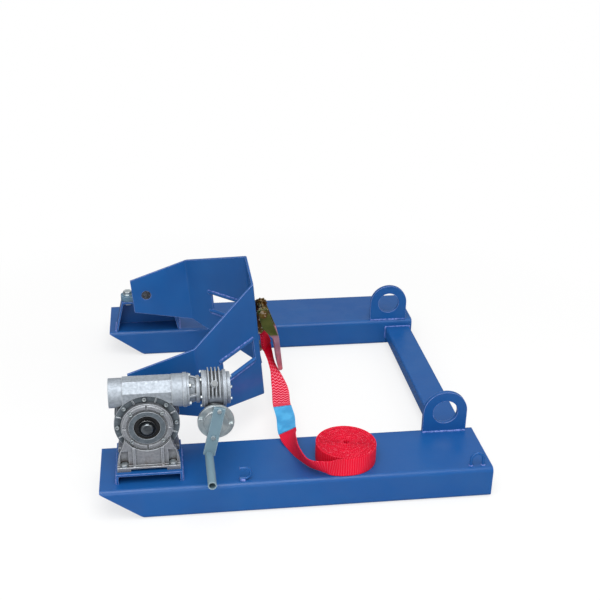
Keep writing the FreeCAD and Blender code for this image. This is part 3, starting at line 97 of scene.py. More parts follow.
# Lashing strap: its sewn eye on the buckle's bolt, its free run and its roll on the near pocket
strap_width = 50 * mm
strap_thickness = 2.7 * mm
strap_profile_points = 24
strap_corner_power = 0.3
strap_step = 4.5 * mm
eye_gap = 0.25 * mm
eye_tip_gap = 0.5 * mm
eye_tip = (-0.0262, 0.1895)
eye_twist_deg = 31
eye_arc_points = 60
eye_step = strap_step / 4
fold_start = 0.1
fold_steps = 24
fold_clearance = 0.1 * mm
fold_chart = 0.3
roll_centre = (0.128, -0.3995)
roll_outer_radius = 80 * mm
roll_pitch = 3.1 * mm
roll_turns = 23
roll_points_per_turn = 60
roll_start_deg = 266
roll_height = 112.4 * mm
roll_waver = 0.5 * mm
roll_waver_rates = (2.3, 5.1)
roll_guide_point = 4
run_points = 400
strap_run = [
    (-0.0253, 0.0605, 0.1863),
    (-0.0222, 0.0570, 0.1725),
    (-0.0135, 0.0345, 0.1440),
    (-0.0020, -0.0005, 0.1190),
    (0.0005, -0.0575, 0.1050),
    (-0.0045, -0.1285, 0.1010),
    (-0.0025, -0.2025, 0.1000),
    (-0.0075, -0.2715, 0.1040),
    (-0.0040, -0.3375, 0.1110),
    (0.0070, -0.4005, 0.1140),
    (0.0300, -0.4495, 0.1110),
    (0.0660, -0.4765, 0.1150),
    (0.0980, -0.4765, 0.1126),
]
strap_run_across = [
    (0.49, 0.86, 0.15),
    (0.42, 0.90, 0.01),
    (0.35, 0.92, -0.18),
    (0.56, 0.80, -0.19),
    (0.87, 0.49, -0.08),
    (1, 0.05, 0.04),
    (0.92, -0.38, 0.13),
    (0.65, -0.70, 0.30),
    (0.31, -0.80, 0.51),
    (0.14, -0.78, 0.61),
    (-0.04, -0.67, 0.74),
    (-0.03, -0.37, 0.93),
    (0, 0, 1),
]
upright = (0.0, 0.0, 1.0)

# Plain label sewn on the free run
label_start = 243 * mm
label_length = 140 * mm
label_thickness = 0.7 * mm
label_margin = 0.4 * mm
label_width = strap_width + 2 * label_margin
label_seam = 5 * mm
label_seam_blend = 2 * mm

# Cradle, before it is tilted to rest, for its weld beads
pivot = (-0.3755, 0.0605, 0.232)
rest_tilt_deg = 5.2
plate = 6 * mm
wing_half_gap = 303.5 * mm
fold_reach = 136.5 * mm
back_reach = 314.5 * mm
back_half_width = 101.5 * mm
guide_span = (92 * mm, 243 * mm)
guide_top = 22 * mm
guide_bottom = -55 * mm
collar_radius = 24 * mm

# Far stand, for the plate at its back
stand_plate = 6 * mm
stand_inset = 0.5 * mm
stand_top_half = 80 * mm

# Weld beads
bead_radius = 3.0 * mm
thin_bead = 2.2 * mm
blob_radius = 4.2 * mm
bead_ripple = 4.2 * mm
bead_ripple_share = 0.2
bead_lump_share = 0.12
bead_lump_rates = (310, 97)
bead_tip_share = 0.02
bead_step = 0.7 * mm
bead_sides = 12
bead_ring_points = 72
steep = 0.9

# Weave of the strap
weave_pitch = 6.0 * mm
weave_columns = 8
weave_lean = 0.08
# weave_shine and chevron_shine: cover of the painted highlight on the raised threads
weave_shine = 0.13
chevron_pitch = 12.5 * mm
chevron_start = (20 * mm, 95 * mm)
chevron_end = 225 * mm
chevron_fade = 20 * mm
chevron_lean = 0.5
chevron_shine = 0.72
thread_crest = (0.1, 0.8)
# Band along both edges that takes a painted highlight, as a paler tone and small spots
selvedge_start, selvedge_end = 0.482 * strap_width, 0.498 * strap_width

# Edges and corners of the solids: painted highlights on edges, painted shade in corners, and
# stains low down
edge_round = 2.4 * mm
plated_edge_round = 1.3 * mm
sheet_edge_round = 0.8 * mm
moulded_edge_round = 0.6 * mm
bead_edge_round = 0.5 * mm
edge_lean = (0.995, 0.86)
edge_samples = 8
shut_in = (0.9, 0.3)
shut_in_samples = 6
crisp_step = 0.8
noise_cells_per_spot = 0.5
polymer_ior = 1.5
# Pale colours: painted highlights on edges. Dark colours: painted shade in corners.
casting_edge_highlight, casting_corner_shade = "#E8EEF4", "#2E3133"
plating_rim_highlight, plating_corner_shade = "#F2F6F8", "#202428"
handle_edge_highlight, handle_corner_shade = "#F2E6D6", "#2A2412"
chromate_edge_highlight = "#EADFBC"
stain_depth = 90 * mm
grip_blend = 4 * mm

# Sockets of the colour mix node
mix_share, mix_under, mix_over, mix_colour = 0, 6, 7, 2

# Meshes
merge_distance = 1e-6
sliver = 1e-7
sharp_deg = 50
short_of_end = 1e-9


def linear(code):
    """An sRGB hex colour as linear red, green and blue with full alpha."""
    share = np.array([int(code[i : i + 2], 16) for i in (1, 3, 5)]) / 255
    curve = np.where(share <= 0.04045, share / 12.92, ((share + 0.055) / 1.055) ** 2.4)
    return (*[float(c) for c in curve], 1.0)


def add(tree, kind, sockets=None, **settings):
    """One node with its settings, and with each input set to a value or linked to an output."""
    node = tree.nodes.new(kind)
    for name, value in settings.items():
        setattr(node, name, value)
    for name, value in (sockets or {}).items():
        if isinstance(value, bpy.types.NodeSocket):
            tree.links.new(value, node.inputs[name])
        else:
            node.inputs[name].default_value = value
    return node


# Effects that the materials share


def blank_material(name):
    """A material with an empty node tree, and that tree."""
    material = bpy.data.materials.new(name)
    material.use_nodes = True
    material.node_tree.nodes.clear()
    return material, material.node_tree


def close_material(tree, colour, normal, roughness, **constants):
    """The surface shader: colour, normal and roughness may be links, the rest are plain values."""
    sockets = {"Base Color": colour, "Roughness": roughness, "Normal": normal}
    sockets.update({name.replace("_", " "): value for name, value in constants.items()})
    shader = add(tree, "ShaderNodeBsdfPrincipled", sockets)
    add(tree, "ShaderNodeOutputMaterial", {"Surface": shader.outputs[0]})


def patches(tree, width, detail=2.0, offset=(0, 0, 0), span=(0.35, 0.65), reach=(0.0, 1.0)):
    """A share that drifts between two values in soft spots of about a real width."""
    place = add(tree, "ShaderNodeTexCoord").outputs["Object"]
    moved = add(tree, "ShaderNodeMapping", {"Vector": place, "Location": offset}).outputs[0]
    grain = {"Vector": moved, "Scale": noise_cells_per_spot / width, "Detail": detail}
    noise = add(tree, "ShaderNodeTexNoise", grain).outputs[0]
    taken = {"Value": noise, "From Min": span[0], "From Max": span[1]}
    sockets = {**taken, "To Min": reach[0], "To Max": reach[1]}
    return add(tree, "ShaderNodeMapRange", sockets, interpolation_type="SMOOTHSTEP").outputs[0]


def glaze(tree, under, code, share, most=1.0):
    """A colour laid over another where a share is high, up to a greatest cover."""
    cover = add(tree, "ShaderNodeMath", {0: share, 1: most}, operation="MULTIPLY").outputs[0]
    sockets = {mix_share: cover, mix_under: under, mix_over: linear(code)}
    return add(tree, "ShaderNodeMix", sockets, data_type="RGBA").outputs[mix_colour]


def gritty(tree, normal, width, depth, strength, detail=2.0):
    """A normal roughened by grit of about a real width and depth."""
    grit = patches(tree, width, detail, span=(0.0, 1.0))
    sockets = {"Strength": strength, "Distance": depth, "Height": grit, "Normal": normal}
    return add(tree, "ShaderNodeBump", sockets).outputs[0]


def edge_share(tree, radius):
    """The rounded normal, and how far it leans from the flat one: 0 on a face, 1 on an edge. Most
    materials paint a highlight on edges with this share.
    """
    rounded = add(tree, "ShaderNodeBevel", {"Radius": radius}, samples=edge_samples).outputs[0]
    flat = add(tree, "ShaderNodeNewGeometry").outputs["Normal"]
    pair = {0: rounded, 1: flat}
    same = add(tree, "ShaderNodeVectorMath", pair, operation="DOT_PRODUCT").outputs["Value"]
    sockets = {"Value": same, "From Min": edge_lean[0], "From Max": edge_lean[1]}
    edges = add(tree, "ShaderNodeMapRange", sockets, interpolation_type="SMOOTHSTEP").outputs[0]
    return rounded, edges


def corner_share(tree, distance, only_local=False):
    """How shut in a place is, by its own piece alone or by all: 0 in the open, 1 in a corner. The
    materials paint shade into corners with this share.
    """
    settings = {"samples": shut_in_samples, "only_local": only_local}
    light = add(tree, "ShaderNodeAmbientOcclusion", {"Distance": distance}, **settings)
    sockets = {"Value": light.outputs["AO"], "From Min": shut_in[0], "From Max": shut_in[1]}
    return add(tree, "ShaderNodeMapRange", sockets, interpolation_type="SMOOTHSTEP").outputs[0]


def height_share(tree, start, end):
    """A share that runs from 0 to 1 between two heights, in object space."""
    place = add(tree, "ShaderNodeTexCoord").outputs["Object"]
    height = add(tree, "ShaderNodeSeparateXYZ", {0: place}).outputs["Z"]
    sockets = {"Value": height, "From Min": start, "From Max": end}
    return add(tree, "ShaderNodeMapRange", sockets, interpolation_type="SMOOTHSTEP").outputs[0]


def both_shares(tree, first, second):
    """Where two shares are both high, raised a little so that full cover is reached."""
    pair = {0: first, 1: second}
    product = add(tree, "ShaderNodeMath", pair, operation="MULTIPLY").outputs[0]
    return add(tree, "ShaderNodeMapRange", {"Value": product, "From Max": crisp_step}).outputs[0]


# Materials


def gloss_paint(name, body, dark, edge, roughness=0.34, specular=0.4):
    """Gloss enamel sprayed on steel: faint orange peel, slow drift of tone, painted shade in
    corners, and a painted highlight in bright thin broken lines on the edges.
    """
    material, tree = blank_material(name)
    rounded, edges = edge_share(tree, edge_round)
    tone = glaze(tree, linear(body), dark, patches(tree, width=90 * mm))
    # Painted shade: the dark tone laid into corners, up to half cover.
    tone = glaze(tree, tone, dark, corner_share(tree, distance=25 * mm), most=0.5)
    # Painted highlight: the pale edge colour along the edges, broken up in spots.
    highlight_breaks = patches(tree, width=6 * mm, detail=4.0, span=(0.3, 0.62), reach=(0.4, 1.0))
    colour = glaze(tree, tone, edge, both_shares(tree, edges, highlight_breaks), most=0.9)
    normal = gritty(tree, rounded, width=2.4 * mm, depth=0.25 * mm, strength=0.1, detail=1.0)
    span = (roughness - 0.05, roughness + 0.08)
    gloss = patches(tree, width=30 * mm, detail=3.0, reach=span)
    constants = {"IOR": polymer_ior, "Metallic": 0.0, "Specular_IOR_Level": specular}
    close_material(tree, colour, normal, gloss, **constants)
    return material


def sand_casting(name, body, dark, stain, stain_top):
    """Raw casting: pitted skin, painted shade in corners, a painted highlight on the edges, brown
    stains low down.
    """
    material, tree = blank_material(name)
    rounded, edges = edge_share(tree, edge_round)
    tone = glaze(tree, linear(body), dark, patches(tree, width=3.5 * mm, detail=5.0), most=0.45)
    # Painted shade: a near-black tone laid into corners and between parts.
    tone = glaze(tree, tone, casting_corner_shade, corner_share(tree, distance=16 * mm), most=0.95)
    blots = patches(tree, width=16 * mm, detail=4.0, offset=(0.3, 0.1, 0.2), span=(0.48, 0.66))
    low = height_share(tree, stain_top, stain_top - stain_depth)
    tone = glaze(tree, tone, stain, both_shares(tree, low, blots), most=0.7)
    # Painted highlight: a pale colour along every edge.
    colour = glaze(tree, tone, casting_edge_highlight, edges, most=0.75)
    normal = gritty(tree, rounded, width=1.6 * mm, depth=0.4 * mm, strength=0.35, detail=5.0)
    gloss = patches(tree, width=3 * mm, detail=4.0, reach=(0.46, 0.58))
    close_material(tree, colour, normal, gloss, Metallic=0.55)
    return material


def plated_steel(name, body, tint, roughness, rim=0.5):
    """Plated or machined metal: soft clouds of a second tint, fine grit, painted shade in its own
    corners and a painted highlight on the rims.
    """
    material, tree = blank_material(name)
    rounded, edges = edge_share(tree, plated_edge_round)
    clouds = patches(tree, width=9 * mm, detail=3.0, span=(0.35, 0.7))
    tone = glaze(tree, linear(body), tint, clouds)
    # Painted shade: a dark tone in the piece's own corners.
    corners = corner_share(tree, distance=5 * mm, only_local=True)
    tone = glaze(tree, tone, plating_corner_shade, corners, most=0.8)
    # Painted highlight: a pale colour on the rims, as much as rim allows.
    colour = glaze(tree, tone, plating_rim_highlight, edges, most=rim)
    normal = gritty(tree, rounded, width=0.8 * mm, depth=0.1 * mm, strength=0.12, detail=3.0)
    span = (roughness - 0.08, roughness + 0.12)
    gloss = patches(tree, width=4 * mm, detail=3.0, reach=span)
    close_material(tree, colour, normal, gloss, Metallic=1.0)
    return material


def yellow_chromate(name, tints, chromate_corner_shade, glint_tint):
    """Yellow-chromated zinc: an oil-like film of three tints, painted shade in corners, painted
    glints as bright specks and a painted highlight on the edges.
    """
    material, tree = blank_material(name)
    rounded, edges = edge_share(tree, sheet_edge_round)
    first = patches(tree, width=26 * mm, span=(0.38, 0.62))
    tone = glaze(tree, linear(tints[0]), tints[1], first)
    second = patches(tree, width=18 * mm, offset=(0.2, 0.4, 0.1), span=(0.45, 0.66))
    tone = glaze(tree, tone, tints[2], second)
    # Painted shade: a dark brown laid into corners.
    tone = glaze(tree, tone, chromate_corner_shade, corner_share(tree, distance=16 * mm), most=0.9)
    # Painted glints: bright specks in small spots.
    glint_spots = patches(tree, width=4 * mm, detail=1.0, offset=(0.5, 0.2, 0.3), span=(0.56, 0.64))
    tone = glaze(tree, tone, glint_tint, glint_spots, most=0.8)
    # Painted highlight: a pale colour along the edges.
    colour = glaze(tree, tone, chromate_edge_highlight, edges, most=0.45)
    normal = gritty(tree, rounded, width=3 * mm, depth=0.2 * mm, strength=0.15, detail=3.0)
    close_material(tree, colour, normal, roughness=0.34, Metallic=0.9)
    return material


def two_tone_handle(name, plate_tint, plate_dark, grip_tint_and_reflection, grip_light, grip_top):
    """Buckle handle: olive chromate on the side plates, and below a height a pink grip, partly the
    chromate's own tint and partly a painted reflection; painted shade in corners and a painted
    highlight on the edges.
    """
    material, tree = blank_material(name)
    rounded, edges = edge_share(tree, sheet_edge_round)
    tone = glaze(tree, linear(plate_tint), plate_dark, patches(tree, width=16 * mm, detail=3.0))
    # Painted shade: a dark tone laid into corners.
    tone = glaze(tree, tone, handle_corner_shade, corner_share(tree, distance=10 * mm), most=0.8)
    # The grip's pink is partly the chromate's own tint and partly a painted reflection of the sky.
    grip = glaze(tree, linear(grip_tint_and_reflection), grip_light, patches(tree, width=12 * mm))
    low = height_share(tree, grip_top + grip_blend, grip_top - grip_blend)
    sockets = {mix_share: low, mix_under: tone, mix_over: grip}
    tone = add(tree, "ShaderNodeMix", sockets, data_type="RGBA").outputs[mix_colour]
    # Painted highlight: a pale colour along the edges.
    colour = glaze(tree, tone, handle_edge_highlight, edges, most=0.6)
    normal = gritty(tree, rounded, width=3 * mm, depth=0.2 * mm, strength=0.12, detail=3.0)
    close_material(tree, colour, normal, roughness=0.36, Metallic=0.75)
    return material


def moulded(name, body, dark, roughness):
    """Moulded rubber or plastic: a matt skin with fine grit and dust in a slightly paler tone."""
    material, tree = blank_material(name)
    rounded, _ = edge_share(tree, moulded_edge_round)
    dust = patches(tree, width=12 * mm, detail=4.0, span=(0.4, 0.75))
    colour = glaze(tree, linear(dark), body, dust)
    normal = gritty(tree, rounded, width=0.8 * mm, depth=0.15 * mm, strength=0.2)
    span = (roughness - 0.06, roughness + 0.1)
    gloss = patches(tree, width=6 * mm, detail=3.0, reach=span)
    close_material(tree, colour, normal, gloss, IOR=polymer_ior)
    return material


def woven_polyester(name, body, bright, dark, edge):
    """Woven polyester webbing: cross ribs along the band, and bold chevrons on the stretch near
    the buckle, with a painted highlight on the raised threads that is strongest on that stretch,
    and a painted highlight in a paler tone and small spots along both edges."""
    material, tree = blank_material(name)
    place = add(tree, "ShaderNodeUVMap", uv_map="band").outputs[0]
    parts = add(tree, "ShaderNodeSeparateXYZ", {0: place}).outputs
    across, along = parts["X"], parts["Y"]
    ratio = {0: across, 1: weave_columns / strap_width}
    columns = add(tree, "ShaderNodeMath", ratio, operation="MULTIPLY").outputs[0]
    zigzag = add(tree, "ShaderNodeMath", {0: columns, 1: 1.0}, operation="PINGPONG").outputs[0]
    ends = {0: along, 1: chevron_end}
    bold = add(tree, "ShaderNodeMath", ends, operation="MINIMUM").outputs[0]
    rest = add(tree, "ShaderNodeMath", {0: along, 1: bold}, operation="SUBTRACT").outputs[0]
    pitch = {0: rest, 1: 1 / weave_pitch}
    fine = add(tree, "ShaderNodeMath", pitch, operation="MULTIPLY").outputs[0]
    pitch = {0: bold, 1: 1 / chevron_pitch, 2: fine}
    rows = add(tree, "ShaderNodeMath", pitch, operation="MULTIPLY_ADD").outputs[0]
    fade = {"Value": along, "From Min": chevron_end + chevron_fade, "From Max": chevron_end}
    stretch = add(tree, "ShaderNodeMapRange", fade).outputs[0]
    leans = {0: stretch, 1: chevron_lean, 2: weave_lean}
    lean = add(tree, "ShaderNodeMath", leans, operation="MULTIPLY_ADD").outputs[0]
    slope = {0: zigzag, 1: lean, 2: rows}
    slant = add(tree, "ShaderNodeMath", slope, operation="MULTIPLY_ADD").outputs[0]
    turn = add(tree, "ShaderNodeMath", {0: slant, 1: full_turn}, operation="MULTIPLY").outputs[0]
    wave = add(tree, "ShaderNodeMath", {0: turn}, operation="SINE").outputs[0]
    crests = {"Value": wave, "From Min": thread_crest[0], "From Max": thread_crest[1]}
    raised = add(tree, "ShaderNodeMapRange", crests).outputs[0]
    shines = {0: stretch, 1: chevron_shine, 2: weave_shine}
    cover = add(tree, "ShaderNodeMath", shines, operation="MULTIPLY_ADD").outputs[0]
    opening = {"Value": along, "From Min": chevron_start[0], "From Max": chevron_start[1]}
    shown = add(tree, "ShaderNodeMapRange", opening).outputs[0]
    crest = add(tree, "ShaderNodeMath", {0: raised, 1: cover}, operation="MULTIPLY").outputs[0]
    shine = add(tree, "ShaderNodeMath", {0: crest, 1: shown}, operation="MULTIPLY").outputs[0]
    half = {0: across, 1: 0.5 * strap_width}
    off = add(tree, "ShaderNodeMath", half, operation="SUBTRACT").outputs[0]
    side = add(tree, "ShaderNodeMath", {0: off}, operation="ABSOLUTE").outputs[0]
    rim = {"Value": side, "From Min": selvedge_start, "From Max": selvedge_end}
    selvedge = add(tree, "ShaderNodeMapRange", rim).outputs[0]
    tone = glaze(tree, linear(body), dark, patches(tree, width=30 * mm), most=0.5)
    # Painted highlight: pale pink on the raised threads, strongest on the chevron stretch.
    tone = glaze(tree, tone, bright, shine)
    # Painted highlight: a slightly paler tone along both edges.
    tone = glaze(tree, tone, edge, selvedge, most=0.6)
    # Painted highlight: pale pink in small spots along both edges.
    edge_highlight_spots = both_shares(tree, selvedge, patches(tree, width=1.6 * mm, span=(0.55, 0.68)))
    colour = glaze(tree, tone, bright, edge_highlight_spots, most=0.45)
    relief = {"Strength": 0.6, "Distance": 0.7 * mm, "Height": raised}
    normal = add(tree, "ShaderNodeBump", relief).outputs[0]
    constants = {"IOR": polymer_ior, "Specular_IOR_Level": 0.12}
    close_material(tree, colour, normal, roughness=0.6, **constants)
    return material


def coated_cloth(name, body, dark, seam):
    """Thin coated cloth of a sewn label: softly creased, with a seam at each end."""
    material, tree = blank_material(name)
    place = add(tree, "ShaderNodeUVMap", uv_map="band").outputs[0]
    along = add(tree, "ShaderNodeSeparateXYZ", {0: place}).outputs["Y"]
    middle = {0: along, 1: label_start + 0.5 * label_length}
    off = add(tree, "ShaderNodeMath", middle, operation="SUBTRACT").outputs[0]
    reach = add(tree, "ShaderNodeMath", {0: off}, operation="ABSOLUTE").outputs[0]
    edge = 0.5 * label_length - label_seam
    stitched = {"Value": reach, "From Min": edge, "From Max": edge + label_seam_blend}
    ends = add(tree, "ShaderNodeMapRange", stitched).outputs[0]
    tone = glaze(tree, linear(body), dark, patches(tree, width=16 * mm, detail=3.0))
    stitches = both_shares(tree, ends, patches(tree, width=3 * mm))
    colour = glaze(tree, tone, seam, stitches, most=0.7)
    crease = patches(tree, width=18 * mm, detail=3.0)
    relief = {"Strength": 0.4, "Distance": 1.2 * mm, "Height": crease}
    normal = add(tree, "ShaderNodeBump", relief).outputs[0]
    close_material(tree, colour, normal, roughness=0.5, IOR=polymer_ior)
    return material


def weld_paint(name, body, bright):
    """Enamel over a weld bead: the same paint with painted highlights in brighter spots."""
    material, tree = blank_material(name)
    rounded, _ = edge_share(tree, bead_edge_round)
    # Painted highlight: lavender spots on the bead.
    colour = glaze(tree, linear(body), bright, patches(tree, width=4 * mm, detail=3.0))
    normal = gritty(tree, rounded, width=1.2 * mm, depth=0.3 * mm, strength=0.3)
    close_material(tree, colour, normal, roughness=0.3, IOR=polymer_ior)
    return material


finishes = {
    # The last colour of each enamel is its painted edge highlight.
    "frame_paint": gloss_paint("blue_enamel_frame", "#175596", "#155193", "#8C9AD8"),
    "cradle_paint": gloss_paint("blue_enamel_cradle", "#185A9D", "#155496", "#8C9AD8"),
    "cast_aluminium": sand_casting("cast_aluminium", "#AAB2BB", "#7C848C", "#5A4030", 0.27),
    "cover_aluminium": sand_casting("dark_cast_aluminium", "#727C84", "#485259", "#43301F", 0.17),
    "foot_casting": sand_casting("stained_casting", "#9A9DA3", "#74767B", "#5E432E", 0.17),
    "zinc_steel": plated_steel("zinc_plated_steel", "#E2EAEB", "#C2CFD4", 0.4, rim=0.9),
    "bright_steel": plated_steel("machined_steel", "#A9ABAC", "#8C8F92", 0.26),
    "crank_paint": gloss_paint("grey_enamel", "#6D8693", "#627D8B", "#A9BCC5", 0.42, 0.36),
    "block_paint": gloss_paint("pale_enamel_on_iron", "#5F7F95", "#4F6F86", "#A9BAC6", 0.42),
    "seal_rubber": moulded("nitrile_rubber", "#1B1D20", "#0E0F11", 0.6),
    "bronze": plated_steel("tin_bronze", "#B58A4A", "#A0763C", 0.34),
    "buckle_zinc": yellow_chromate(
        "yellow_chromate", ("#8A6428", "#6A3F1E", "#94823A"), "#26130A", "#F4E8BC"
    ),
    "plug_plastic": moulded("plug_plastic", "#9EA3A6", "#7C8184", 0.5),
}
node_finishes = {
    # Grip pinks: partly the chromate's own tint, partly a painted reflection.
    "ratchet_handle": two_tone_handle(
        "chromate_handle", "#77803C", "#5C6A2E", "#C8929C", "#D8A6AE", 0.239
    ),
    "hollow_shaft": plated_steel("oiled_steel", "#34383B", "#25282B", 0.3),
    "near_shaft": plated_steel("oiled_shaft_steel", "#A0A6AA", "#72787C", 0.25),
}
# The pale pink and the edge colour are painted highlights.
red_webbing = woven_polyester(
    "red_polyester_webbing", "#DE002C", "#FF8FA4", "#C60024", "#DE0832"
)
label_cloth = coated_cloth("blue_label_cloth", "#4FB0E2", "#3C9AD0", "#1F4E7A")
# The second colour is a painted highlight.
bead_paint = weld_paint("blue_enamel_weld", "#2C559F", "#7488CC")


def dress_solids():
    """Each node takes its own finish, or that of its record slot."""
    slots = {row["node"]: row["material_slot"] for row in frame["record"]["subparts"]}
    for name, node in frame["nodes"].items():
        finish = node_finishes.get(name) or finishes.get(slots[name], red_webbing)
        node.data.materials.clear()
        node.data.materials.append(finish)


# Surfaces


def quads(rows, columns):
    """Corner numbers of the quads of a grid of points."""
    corner = (np.arange(rows - 1)[:, None] * columns + np.arange(columns - 1)[None, :]).ravel()
    return np.stack([corner, corner + 1, corner + columns + 1, corner + columns], axis=1)


def surface(name, grids, material, charts=None):
    """One mesh from grids of points; each chart gives its grid's place across and along a band."""
    points = np.concatenate([g.reshape(-1, 3) for g in grids])
    starts = np.cumsum([0] + [g.shape[0] * g.shape[1] for g in grids[:-1]])
    faces = np.concatenate([quads(*g.shape[:2]) + s for g, s in zip(grids, starts)])
    mesh = bpy.data.meshes.new(name)
    mesh.vertices.add(len(points))
    mesh.vertices.foreach_set("co", points.ravel().astype(np.float32))
    mesh.loops.add(faces.size)
    mesh.loops.foreach_set("vertex_index", faces.ravel().astype(np.int32))
    mesh.polygons.add(len(faces))
    mesh.polygons.foreach_set("loop_start", np.arange(0, faces.size, 4, dtype=np.int32))
    if charts is not None:
        places = np.concatenate([c.reshape(-1, 2) for c in charts])
        layer = mesh.uv_layers.new(name="band")
        layer.data.foreach_set("uv", places[faces.ravel()].ravel().astype(np.float32))
    mesh.update(calc_edges=True)
    shell = bmesh.new()
    shell.from_mesh(mesh)
    bmesh.ops.remove_doubles(shell, verts=shell.verts, dist=merge_distance)
    bmesh.ops.dissolve_degenerate(shell, edges=shell.edges, dist=sliver)
    bmesh.ops.recalc_face_normals(shell, faces=shell.faces)
    shell.to_mesh(mesh)
    shell.free()
    mesh.shade_smooth()
    mesh.set_sharp_from_angle(angle=math.radians(sharp_deg))
    mesh.materials.append(material)
    thing = bpy.data.objects.new(name, mesh)
    bpy.context.scene.collection.objects.link(thing)
    return thing


def unit(vectors):
    """Vectors at length 1."""
    return vectors / np.linalg.norm(vectors, axis=-1, keepdims=True)


def smooth_through(points, count):
    """A cubic curve through points, whose slope at each is the mean of the steps beside it."""
    before, after = 2 * points[:1] - points[1:2], 2 * points[-1:] - points[-2:-1]
    padded = np.concatenate([before, points, after])
    place = np.linspace(0, len(points) - 1 - short_of_end, count)
    span = place.astype(int)
    t = (place - span)[:, None]
    a, b, c, d = (padded[span + i] for i in range(4))
    square, cube = 2 * a - 5 * b + 4 * c - d, 3 * b - a - 3 * c + d
    return 0.5 * (2 * b + (c - a) * t + square * t**2 + cube * t**3)


def even_steps(points, others, step):
    """The same line cut again at equal steps of its length, with the vectors that go with it."""
    run = np.concatenate([[0], np.cumsum(np.linalg.norm(np.diff(points, axis=0), axis=1))])
    places = np.linspace(0, run[-1], int(run[-1] / step) + 1)
    line = np.stack([np.interp(places, run, points[:, i]) for i in range(3)], axis=1)
    carried = np.stack([np.interp(places, run, others[:, i]) for i in range(3)], axis=1)
    return line, carried, places


def band(line, across, width, thickness, lift=0.0):
    """A flat band along a line: a rounded oblong section, x = w|cos|^k and y = t|sin|^k with
    their signs, carried with its width along the across vectors. A line that ends where it began
    gives a ring."""
    along = unit(np.gradient(line, axis=0))
    side = unit(across - (across * along).sum(1, keepdims=True) * along)
    out = np.cross(along, side)
    angle = np.linspace(0, full_turn, strap_profile_points + 1)
    x = 0.5 * width * np.sign(np.cos(angle)) * np.abs(np.cos(angle)) ** strap_corner_power
    y = np.sign(np.sin(angle)) * np.abs(np.sin(angle)) ** strap_corner_power
    middle = line + lift * out
    rise = 0.5 * np.broadcast_to(thickness, len(line))[:, None] * y
    rings = middle[:, None] + x[None, :, None] * side[:, None] + rise[:, :, None] * out[:, None]
    if np.allclose(line[0], line[-1]):
        rings[-1] = rings[0]
        ends = [rings[:1], rings[-1:]]
    else:
        ends = [np.repeat(middle[i][None, None], len(angle), axis=1) for i in (0, -1)]
    return np.concatenate([ends[0], rings, ends[1]]), x


def band_chart(x, places):
    """Across and along places of a band, for its weave."""
    run = np.concatenate([places[:1], places, places[-1:]])
    return np.stack(np.broadcast_arrays(x[None, :] + 0.5 * strap_width, run[:, None]), axis=2)


def strap_line():
    """The strap's middle line and its across vectors: down from the eye, forward along the free
    run, then a spiral r = R - p * turns with its width upright, whose turns waver in height."""
    turns = np.linspace(0, roll_turns, roll_turns * roll_points_per_turn)
    angle = math.radians(roll_start_deg) + full_turn * turns
    radius = roll_outer_radius - 0.5 * strap_thickness - roll_pitch * turns
    slow, quick = roll_waver_rates
    waver = (2 + np.sin(slow * turns) + np.sin(quick * turns + 1)) * np.minimum(turns, 1)
    height = roll_height + roll_waver * waver
    x, y = roll_centre[0] + radius * np.cos(angle), roll_centre[1] + radius * np.sin(angle)
    roll = np.stack([x, y, height], axis=1)
    guides = roll[[0, roll_guide_point]]
    run = smooth_through(np.concatenate([strap_run, guides]), run_points)
    run_across = smooth_through(np.array(strap_run_across + [upright, upright]), run_points)
    keep = run_points - int(run_points / (len(strap_run) + 1))
    line = np.concatenate([run[:keep], roll[1:]])
    across = np.concatenate([run_across[:keep], np.tile(upright, (len(roll) - 1, 1))])
    return even_steps(line, across, strap_step)


def lashing_strap():
    """The long strap, from its eye to the end inside its roll."""
    line, across, places = strap_line()
    rings, x = band(line, across, strap_width, strap_thickness)
    strap = surface("lashing_strap", [rings], red_webbing, [band_chart(x, places)])
    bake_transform(strap)
    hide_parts("webbing_tail", "webbing_coil")
    print("strap length", round(float(places[-1]), 3))


def strap_label():
    """A plain label that lies on the upper face of the free run."""
    line, across, places = strap_line()
    pick = (places >= label_start) & (places <= label_start + label_length)
    lift = 0.5 * (strap_thickness + label_thickness) + label_margin
    rings, x = band(line[pick], across[pick], label_width, label_thickness, lift)
    label = surface("strap_label", [rings], label_cloth, [band_chart(x, places[pick])])
    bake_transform(label)


def eye_line(top, low, big, small):
    """A closed belt round two circles in the plane of X and Z: an arc of each, joined by their
    tangents."""
    reach = np.linalg.norm(low - top)
    down = (low - top) / reach
    side = np.array([-down[1], down[0]])
    lean = math.asin((big - small) / reach)
    over = np.linspace(-lean, math.pi + lean, eye_arc_points)[:, None]
    under = np.linspace(math.pi + lean, full_turn - lean, eye_arc_points)[:, None]
    around_top = top + big * (np.cos(over) * side - np.sin(over) * down)
    around_low = low + small * (np.cos(under) * side - np.sin(under) * down)
    return np.concatenate([around_top, around_low, around_top[:1]])


def eye_turned(vectors, places, bolt, tip):
    """Vectors turned about the line from bolt to tip, along k:
    v cos a + (k x v) sin a + k (k . v)(1 - cos a), with a = twist s^2 (3 - 2 s) for the share s
    of the way from bolt to tip that each place has gone."""
    reach = tip - bolt
    axis = reach / np.linalg.norm(reach)
    share = np.clip(((places - bolt) @ reach) / (reach @ reach), 0, 1)
    twist = (math.radians(eye_twist_deg) * share**2 * (3 - 2 * share))[:, None]
    kept = (vectors @ axis)[:, None] * axis
    turned = vectors * np.cos(twist) + np.cross(axis, vectors) * np.sin(twist)
    return turned + kept * (1 - np.cos(twist))


